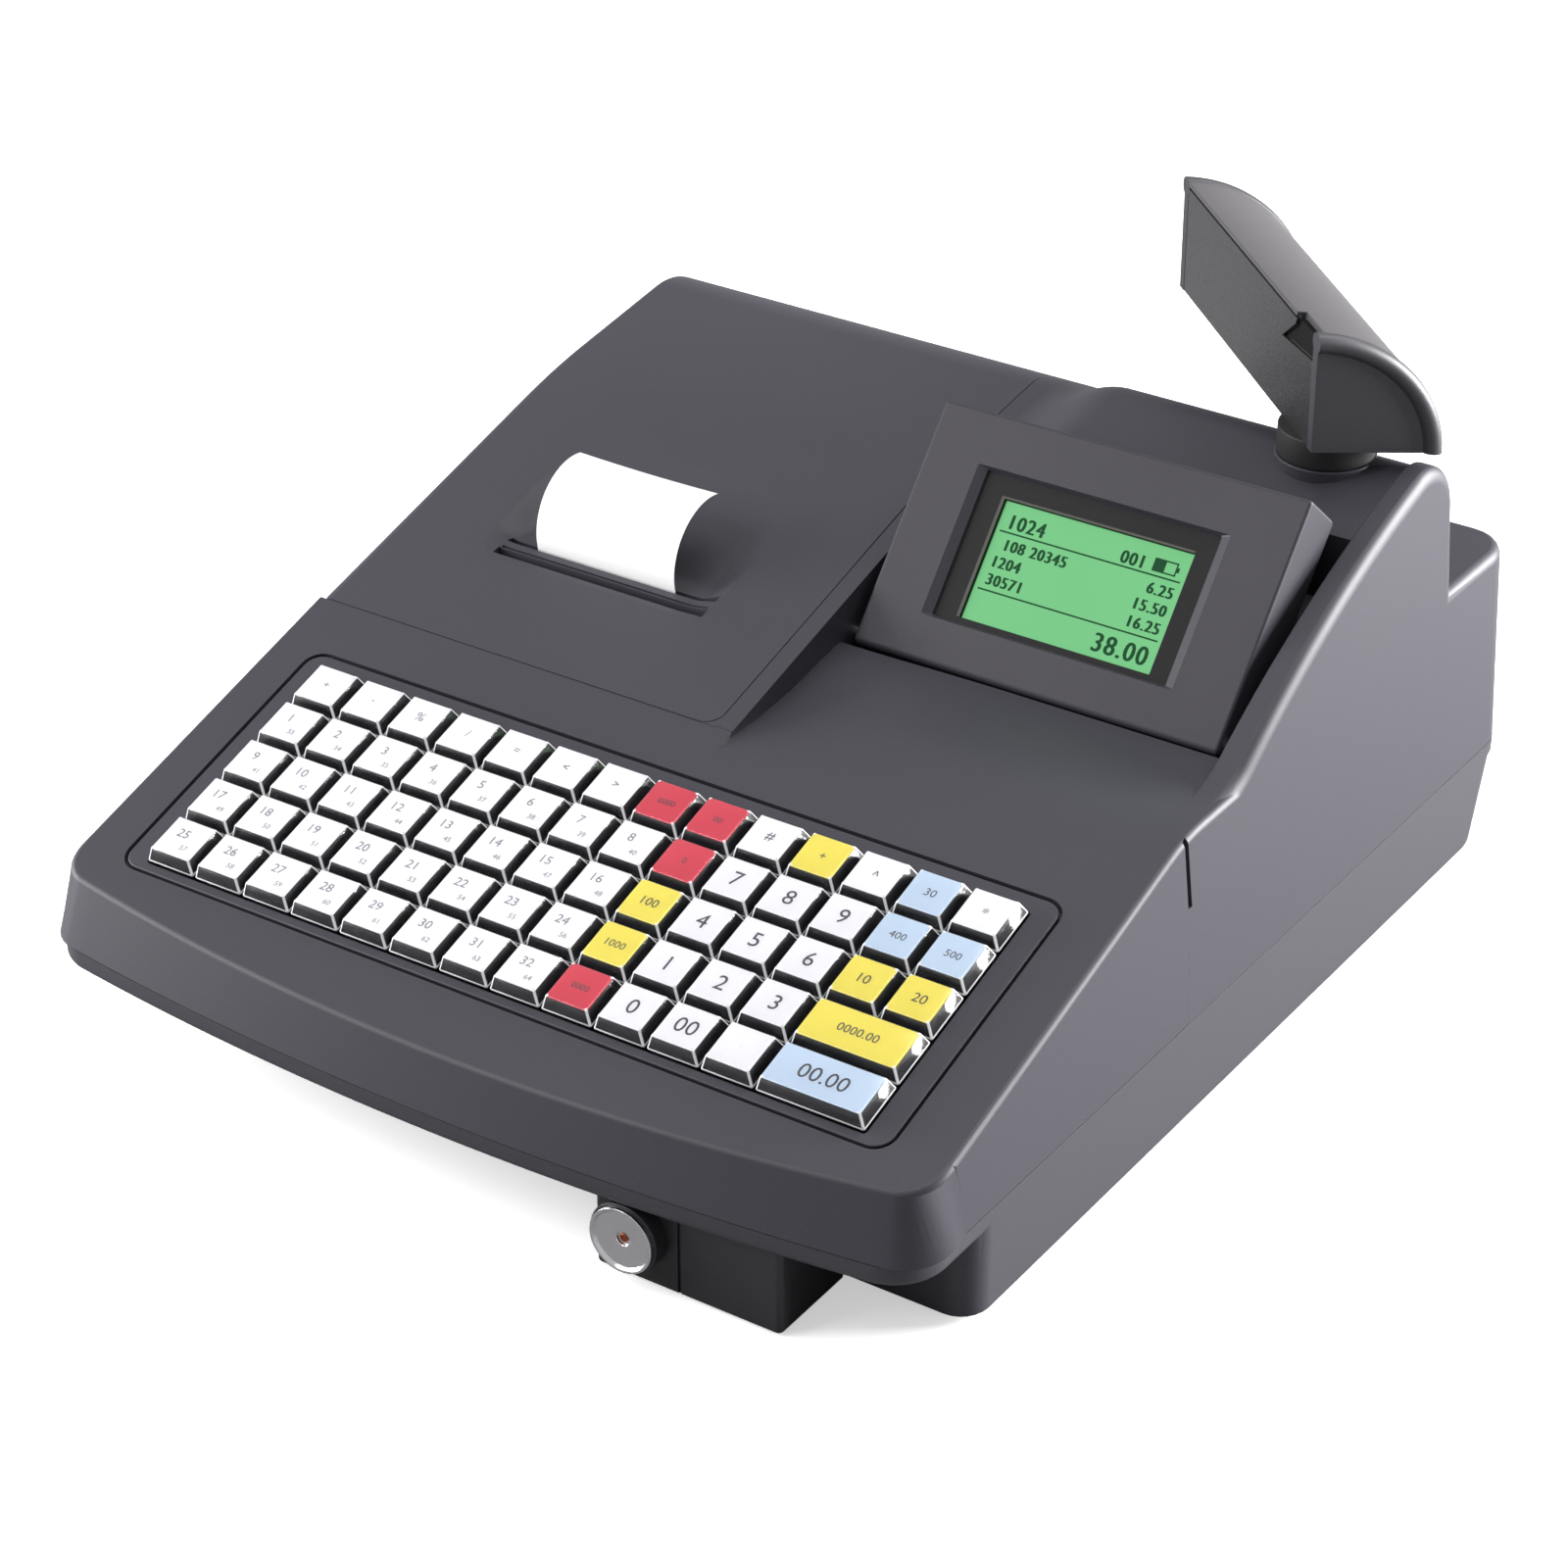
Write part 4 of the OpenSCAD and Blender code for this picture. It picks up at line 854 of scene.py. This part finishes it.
BLACK = plastic("black reader plastic", shade(36, 36, 39), roughness=0.42, depth=0.00003)
STEEL = brushed_metal("bright steel", shade(232, 232, 234), 0.16)
COPPER = brushed_metal("contact copper", shade(150, 84, 58), 0.38)
reader_sides = rectangle(52.5, READER[1], 118, PLINTH_FRONT)
carved("reader_block", upright(reader_sides, 1, 30.5, [2, 2, None, None], 1.2, 0.3),
       [("-", bar(rectangle(-69, 0, -66, 31), 82, 83)), ("-", turned([[1, 6], [-11, 6]]))],
       "case", BLACK, hides=["reader_housing"], edge=0.3)
piece("reader_collar", turned(eased([[3.4, 1.6], [3.4, 8.2], [5.4, 8.2], [5.4, 11.8], [0, 11.8], [0, 5.9],
                                     [-8, 5.9], [-8, 1.6]])), "case", BLACK,
      hides=["reader_bezel"])
piece("reader_dish", turned(eased([[4.6, 2.2], [5.5, 2.4], [5.9, 9.4], [6.9, 10.2], [7.0, 11], [5.42, 11],
                                   [5.42, 8.15], [3.45, 8.15], [3.45, 2.2]], 0.25)), "case", STEEL,
      hides=["reader_cup"])
piece("reader_pin", turned(eased([[4.9, 0.01], [5.2, 1.1], [4.9, 1.55], [-0.9, 1.55], [-0.9, 0.01]], 0.2)),
      "case", COPPER, hides=["reader_contact"])

# ---------------------------------------------------------------- Printer lid
# The cover of the printer, one moulding on a steel hinge rod under its hood. A scoop in it has two slots with
# the saw-toothed tear bar between them, where the ticket comes out.

LID = plastic("charcoal lid plastic", shade(57, 56, 64), specular=0.4)


def under(inset, floor, start=LID_FRONT):
    """The region under the lid's top line drawn down by inset, in Y and Z."""
    return [[start, floor], [HOOD_BACK - inset, floor]] + lid_top(inset, start)[::-1]


def scoop():
    """The room of the scoop. Its floor follows a line of y and z, and at both ends it eases up to 0.25 mm
    above the lid over 12 mm of x, by a smooth step."""
    y = np.concatenate([np.linspace(108.5, 128, 27), np.linspace(130, 182, 27)])
    floor = np.interp(y, [108.5, 113, 121.3, 125, 132, 176, 182],
                      [lid_height(108.5) + 0.25, 110.8, 111.6, 110.4, 110.6, lid_height(176) + 0.1,
                       lid_height(182) + 0.25])
    floor = np.convolve(np.pad(floor, 1, "edge"), [0.25, 0.5, 0.25], "valid")
    x = np.concatenate([np.linspace(-126, -113, 14), np.linspace(-108, -48, 7), np.linspace(-43, -30, 14)])
    deep = smooth(np.clip((48 - np.abs(x + 78)) / 12, 0, 1))[:, None]
    top = lid_height(y) + 0.25
    z = top * (1 - deep) + np.minimum(floor, top) * deep
    rows = np.stack([np.broadcast_to(x[:, None], z.shape), np.broadcast_to(y, z.shape), z], -1)
    lid = rows[:, [-1, 0]]
    lid[..., 2] = 200
    return capped(np.concatenate([rows, lid], 1))


scoop_skin = [[102, 104], [112, 102.8], [122, 103.2],
              [180, lid_height(180) - 3.6], [180, lid_height(180) - 1], [102, lid_height(102) - 1]]
round_corner = [[-6.5, 60], [3, 60], [3, 90], [-0.5, 90]] + arc(LID_CORNER, 6, 0, -90, 8)
rod_eye = arc(HINGE, 4.5, -150, 10) + [[290.4, 121], [290, 123], [282, 123]]
carved("lid_shell", drafted(bar(under(0, 80), -CASE_HALF, -0.5, 7, 0.5)),
       [("-", bar(under(LID_DEEP, 60, LID_FRONT - 20), -180, 10)),
        ("-", bar(under(WALL, 60, LID_FRONT + 4), -156, -3.1)),
        ("-", bar(rectangle(256, 60, 310, SHELF_Z + 1), -180, 10)),
        ("+", bar(scoop_skin, -126, -30)), ("-", upright(round_corner, 60, 160)), ("-", scoop())]
       + [("+", bar(rod_eye, x - 5, x + 5)) for x in (-140, -80, -20)]
       + [("-", bar(rectangle(y0, 90, y1, 120), -117, -33)) for y0, y1 in ((113.0, 116.6), (120.9, 124.2))]
       + [("-", bar(rectangle(116.9, 105.3, 118.1, 120), -116.5, -33.5)),
          ("-", bar(circle(HINGE, 2.55), -200, 10))]
       + [("-", bar(rectangle(276, 100, 300, 119.4), x - 6, x + 6)) for x in (-110, -50)],
       "lid", LID, hides=["printer_lid"], edge=0.45)

# ---------------------------------------------------------------- Ticket
# A strip of thermal paper that comes up through the rear slot of the scoop and curls back over it. It moves
# with the lid.

PAPER = plastic("thermal paper", shade(250, 250, 250), roughness=0.7, size=700, depth=0.00001, fleck=0.03,
                specular=0.3)


def ticket():
    """A strip 55.5 mm wide with a straight foot, then an arc from 194 to 76 degrees. It is a little dished:
    its edges stand up to 0.8 (s - 0.25)^2 mm higher than its middle, where s goes from 0 to 1 along it."""
    foot_y, foot_z, middle, radius, thick, half = 121.6, 103.4, [142.1, 116.4], 20.5, 0.12, 27.75
    along = [[foot_y, foot_z]] + arc(middle, radius, 194, 76, 48)
    inner = [[foot_y + thick, foot_z]] + arc(middle, radius - thick, 194, 76, 48)
    loop = np.array(along + inner[::-1])
    x = np.linspace(-half, half, 25)
    part = np.concatenate([np.linspace(0, 1, len(along)), np.linspace(1, 0, len(along))])
    dish = 0.8 * (x / half)[None, :] ** 2 * np.clip(part - 0.25, 0, 1)[:, None] ** 2
    across, back = np.broadcast_to(x - 77.5, dish.shape), np.broadcast_to(loop[:, :1], dish.shape)
    points, faces = grid(np.stack([across, back, loop[:, 1:] + dish], -1), round_rows=True)
    n = len(x)
    faces.append([k * n for k in range(len(loop))])
    faces.append([k * n + n - 1 for k in range(len(loop))][::-1])
    return points, faces


piece("ticket_strip", ticket(), "lid", PAPER, hides=["paper_ticket"])

# ---------------------------------------------------------------- Operator display
# A tilting wedge on two pins between the cheek and the wing: a charcoal housing whose window has broad slopes
# at both sides, a black frame with a paler grey-green strip on the screen's left and top edges, painted glow
# of the screen on the sides of its recess, and a lit green screen behind them.

DISPLAY_X, DISPLAY_PIN = (10.0, 143.0), (144.6, 103.6)
FACE_ANGLE, FACE_LENGTH, FACE_FOOT = 49.3, 84.4, np.array([135.8, 105.2])
FACE_UP, FACE_IN = toward(FACE_ANGLE), toward(FACE_ANGLE - 90)
HOUSING = plastic("charcoal display plastic", shade(56, 54, 61), specular=0.3)
SCREEN_BLACK = plastic("black screen frame", shade(26, 26, 27), roughness=0.5, size=1800, depth=0.00001,
                       specular=0.15)


def face_at(t, d):
    """Y and z of a point t up the display's face and d behind it."""
    return (FACE_FOOT + t * FACE_UP + d * FACE_IN).tolist()


def on_face(shape):
    """A shape given as s across from the housing's left edge, t up its face and d out of it, put in place."""
    s, t, d = shape[0].T
    yz = FACE_FOOT + t[:, None] * FACE_UP - d[:, None] * FACE_IN
    return np.column_stack([s + DISPLAY_X[0], yz]), shape[1]


def box(low, high):
    """A plain block between two corners."""
    return upright(rectangle(*low[:2], *high[:2]), low[2], high[2])


def grown(area, by, low, high):
    """A block over an area of the face that is larger than the given one by so much on each side."""
    return box([area[0] - by, area[1] - by, low], [area[2] + by, area[3] + by, high])


WINDOW, SCREEN = (19.6, 15.0, 111.3, 67.0), (32.0, 18.0, 101.0, 58.6)
housing_corners = [face_at(0, 0), face_at(-0.5, 10), face_at(12.6, 21.1), face_at(FACE_LENGTH, 22),
                   face_at(FACE_LENGTH, 0)]
housing_hollow = [face_at(2.2, 2.4), face_at(3, 12), face_at(15.5, 20), face_at(15.5, 30),
                  face_at(FACE_LENGTH - 2.4, 30), face_at(FACE_LENGTH - 2.4, 2.4)]


def window_funnel():
    """The window narrows towards the screen. Its left and right sides start with a broad shallow slope."""
    left, low, right, high = WINDOW
    rings = []
    for d, s, t in ((-4.2, 3.9, 2), (-1.4, 3.2, 0.6), (0, 0, 0), (1, -2.3, -0.45)):
        ring = rounded(rectangle(left + s, low + t, right - s, high - t), [0.8] * 4, 0, 3)
        rings.append(np.insert(ring, 2, d, axis=1))
    return on_face(capped(rings))


carved("display_housing", bar(housing_corners, *DISPLAY_X, 1.2, 1.2, [2.0, 2, 2, 2, 1.25]),
       [("-", bar(housing_hollow, DISPLAY_X[0] + 2.4, DISPLAY_X[1] - 2.4)), ("-", window_funnel())]
       + [("-", bar(circle(DISPLAY_PIN, 2.05), *ends)) for ends in ((9, 18), (135, 144))],
       "operator_display", HOUSING, hides=["lcd_housing"], edge=0.4, bend=20)
carved("screen_frame", on_face(grown(WINDOW, 6, -4.4, -2.4)), [("-", on_face(grown(SCREEN, 0, -9, 0)))],
       "operator_display", SCREEN_BLACK, hides=["lcd_bezel"], edge=0.25)


def lit_screen():
    """A backlit green liquid-crystal panel: an even glow with a faint drift from its lamp."""
    paint, tree, shader = new_paint("green screen")
    drift = noise(tree, 18.0, 1.0)
    fed(tree, shader, Base_Color=mixed(tree, drift, shade(40, 90, 52), shade(46, 98, 58)),
        Emission_Color=mixed(tree, drift, shade(104, 196, 120), shade(114, 204, 132)), Emission_Strength=0.68,
        Roughness=0.25, Specular_IOR_Level=0.2)
    return paint


GREEN = lit_screen()
# A paler grey-green strip along the screen's left and top edges only: painted glow of the screen on its
# recess.
SCREEN_GLOW_STRIP_PAINT = plastic("painted screen glow strip", shade(78, 80, 73), roughness=0.6, size=900, depth=0.000008, specular=0.2)
INK = plastic("screen ink", shade(14, 66, 34), roughness=0.5, size=500, depth=0.000002, fleck=0.1,
              specular=0.1)
left, low, right, high = SCREEN
piece("screen_panel", on_face(joined([grown(SCREEN, -0.1, -5.2, -3.6), grown(WINDOW, 4, -8, -5.3)])),
      "operator_display", GREEN, hides=["lcd_screen"])
piece("screen_glow_strip", on_face(joined([box([left - 1.3, low, -2.5], [left - 0.2, high + 0.9, -2.3]),
                                       box([left - 0.2, high + 0.2, -2.5], [right, high + 0.9, -2.3])])),
      "operator_display", SCREEN_GLOW_STRIP_PAINT)
rule = box([0, 0, 0], [65.6, 0.55, 0.05])
ink = [moved(rule, left + 1.6, high - 10.2, -3.58), moved(rule, left + 1.6, low + 10.6, -3.58)]
for text, size, end, up in (
        ("1024", 5.0, 16.5, 34.3), ("001", 4.4, 52.5, 33.8), ("108 20345", 3.9, 27.5, 26.6),
        ("1204", 3.9, 13.0, 20.6), ("30571", 3.9, 15.5, 14.6), ("6.25", 3.9, 66.0, 26.6),
        ("15.50", 3.9, 66.0, 20.6), ("16.25", 3.9, 66.0, 14.6), ("38.00", 6.4, 65.5, 5.2)):
    word = lettering(text, size, 0.05, 1.14)
    word[0][:, 0] *= 0.9
    ink += [moved(word, left + end - word[0][:, 0].max() + shift, low + up, -3.56 + shift / 50)
            for shift in (0, 0.25, 0.5)]
for x0, y0, x1, y1 in ((0, 0, 4.2, 4.4), (4.2, 3.9, 8.4, 4.4), (4.2, 0, 8.4, 0.5), (7.9, 0, 8.4, 4.4),
                       (8.4, 1.4, 9.2, 3)):
    ink.append(moved(box([x0, y0, 0], [x1, y1, 0.05]), left + 56.4, high - 8.6, -3.58))
piece("screen_ink", on_face(joined(ink)), "operator_display", INK)

# ---------------------------------------------------------------- Customer display
# A quarter-round pod on a turning neck. Its flat side carries a smoked window with a near-black plate in a
# recess at the near end, painted shadow in that recess, and an end cap with a fat bead round its curve closes
# each end.

POD_TURN = math.radians(137)
POD_Z, POD_LENGTH, POD_R = 168.0, 138.5, 42.0
POD_DEEP, POD_HIGH, POD_SINK = 1.065, 0.965, 0.12
BEAD_R = 3.5
# The pod shell is paler than the case and its own end caps: painted sheen for the bright gloss on its top and
# back.
POD_WITH_PAINTED_SHEEN = plastic("charcoal pod plastic lightened as painted sheen", shade(80, 78, 80), roughness=0.36)
POD_END = plastic("charcoal pod end plastic", shade(54, 53, 58), roughness=0.45)
# A near-black plate for the notch at the near end: painted shadow.
NOTCH_PAINTED_SHADOW = plastic("near-black plate painted as shadow in the notch", shade(14, 14, 15), roughness=0.7, fleck=0.1, specular=0.15)
SMOKE = plastic("smoked window", shade(47, 45, 46), roughness=0.26, size=1500, depth=0.000002, fleck=0.1)


def on_pod(shape):
    """A shape given as l along the pod, y out of its flat side and z up, put on the neck. The section is a
    little deeper than its quarter round and a little lower, and it sinks by 0.12 of the way back."""
    l, y, z = shape[0].T
    z = z * POD_HIGH + np.minimum(y, 0) * POD_SINK
    along, out = l - 20, y * POD_DEEP + 12
    x = NECK_PIVOT[0] + along * math.cos(POD_TURN) - out * math.sin(POD_TURN)
    y = NECK_PIVOT[1] + along * math.sin(POD_TURN) + out * math.cos(POD_TURN)
    return np.column_stack([x, y, z + POD_Z]), shape[1]


def pod_bar(radius, l0, l1):
    """A length of the pod's section: the flat side at y = 0, and a quarter circle behind it."""
    return on_pod(bar([[0, 0]] + arc([0, 0], radius, 90, 180, 28) + [[-radius, 0]], l0, l1))


def notch(low, high, inset=0.0, top=50.0):
    """The opening at the top of the flat side's near end: five sides, between two depths out of that side."""
    side = rounded([[5.9, 30.8], [34.5, 27.5], [23.0, 36.6], [21.0, top], [5.9, top]], [None] * 5, inset)
    return on_pod(capped([np.insert(side, 1, y, axis=1) for y in (low, high)]))


carved("pod_shell", pod_bar(POD_R - 0.8, 6, POD_LENGTH - 6),
       [("-", on_pod(box([5, -1.4, -5], [POD_LENGTH - 5, 5, 39.6]))), ("-", notch(-3.0, 5.0))],
       "customer_display", POD_WITH_PAINTED_SHEEN, hides=["display_shell"], edge=0.25)
carved("pod_window", on_pod(box([6.15, -1.3, 0.15], [POD_LENGTH - 6.15, -0.05, 38.7])),
       [("-", notch(-3.0, 5.0))],
       "customer_display", SMOKE, hides=["display_window"], edge=0.25)
# The notch is filled by a near-black plate: painted shadow.
piece("pod_notch_shadow", notch(-2.95, -1.5, 0.05, 38.7), "customer_display", NOTCH_PAINTED_SHADOW)


def bead(middle, steps=20):
    """A round bead of radius BEAD_R that follows the pod's curve and touches it from inside."""
    run = POD_R - BEAD_R
    path = np.array(arc([0, 0], run, 90, 180, 40))[:, None]
    turn = np.linspace(0, 2 * math.pi, steps, endpoint=False)
    along = np.broadcast_to(middle + BEAD_R * np.sin(turn), (len(path), steps))
    return capped(np.dstack([along, path * (1 + BEAD_R * np.cos(turn)[:, None] / run)]))


for name, middle, panel, hides in (
        ("pod_near_end", BEAD_R, (1.8, 6.0), ["display_caps"]),
        ("pod_far_end", POD_LENGTH - BEAD_R, (POD_LENGTH - 6, POD_LENGTH - 1.8), [])):
    carved(name, pod_bar(POD_R - BEAD_R, *panel), [("+", on_pod(bead(middle)))], "customer_display",
           POD_END, hides=hides, edge=0.3, bend=45)

# The neck is near black: painted shadow for the shade under the pod.
NECK_PAINTED_SHADOW = plastic("neck plastic darkened as painted shadow", shade(26, 26, 28), roughness=0.6)
neck_line = eased([[144, 0.01], [144, 8], [159.2, 8], [159.2, 16], [168.6, 16], [168.6, 0.01]], 0.5)
piece("pod_neck", turned(neck_line, (*NECK_PIVOT, 0), (0, 0, 1), (0, 1, 0)), "customer_display",
      NECK_PAINTED_SHADOW, hides=["display_neck"])

# ---------------------------------------------------------------- Printer, boards, ports and feet
# The parts inside and below keep their engineered shapes: the platen and its gears, the thermal head, the
# paper roll in its bucket, the circuit boards, the rear sockets, and the rubber feet.

INNER = plastic("inner black plastic", shade(44, 44, 48), roughness=0.5)
RUBBER = plastic("foot rubber", shade(30, 30, 31), roughness=0.85, size=1400, depth=0.00006, specular=0.25)
GEAR = plastic("gear acetal", shade(225, 222, 212), roughness=0.4, size=1200, depth=0.00001, fleck=0.08)
CARD = plastic("core card", shade(168, 138, 100), roughness=0.85, size=500, depth=0.00005)
CERAMIC = plastic("head ceramic", shade(205, 200, 188), roughness=0.5, depth=0.00002, fleck=0.1)
BOARD = plastic("circuit board", shade(22, 92, 52), roughness=0.4, size=400, fleck=0.5, coat=0.2)
DOMES = plastic("dome rubber", shade(196, 196, 194), roughness=0.6, size=900, depth=0.00002, fleck=0.1)
BRASS = brushed_metal("pinion brass", shade(200, 165, 90), 0.25)
FINISHES = {
    RUBBER: ["rubber_feet", "platen_roller"],
    STEEL: ["case_screws", "printer_frame", "feed_motor", "lid_hinge_rod", "tear_bar", "lcd_hinge_rod"],
    INNER: ["port_panel", "roll_bucket", "lcd_back", "key_guide_plate"], GEAR: ["platen_gear", "idler_gear"],
    BRASS: ["motor_pinion"], CERAMIC: ["thermal_head"], PAPER: ["paper_roll"], CARD: ["roll_core"],
    BOARD: ["main_board", "keyboard_board"], DOMES: ["dome_sheet"]}
for paint, nodes in FINISHES.items():
    for node in nodes:
        for material_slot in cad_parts[node].material_slots:
            material_slot.material = paint
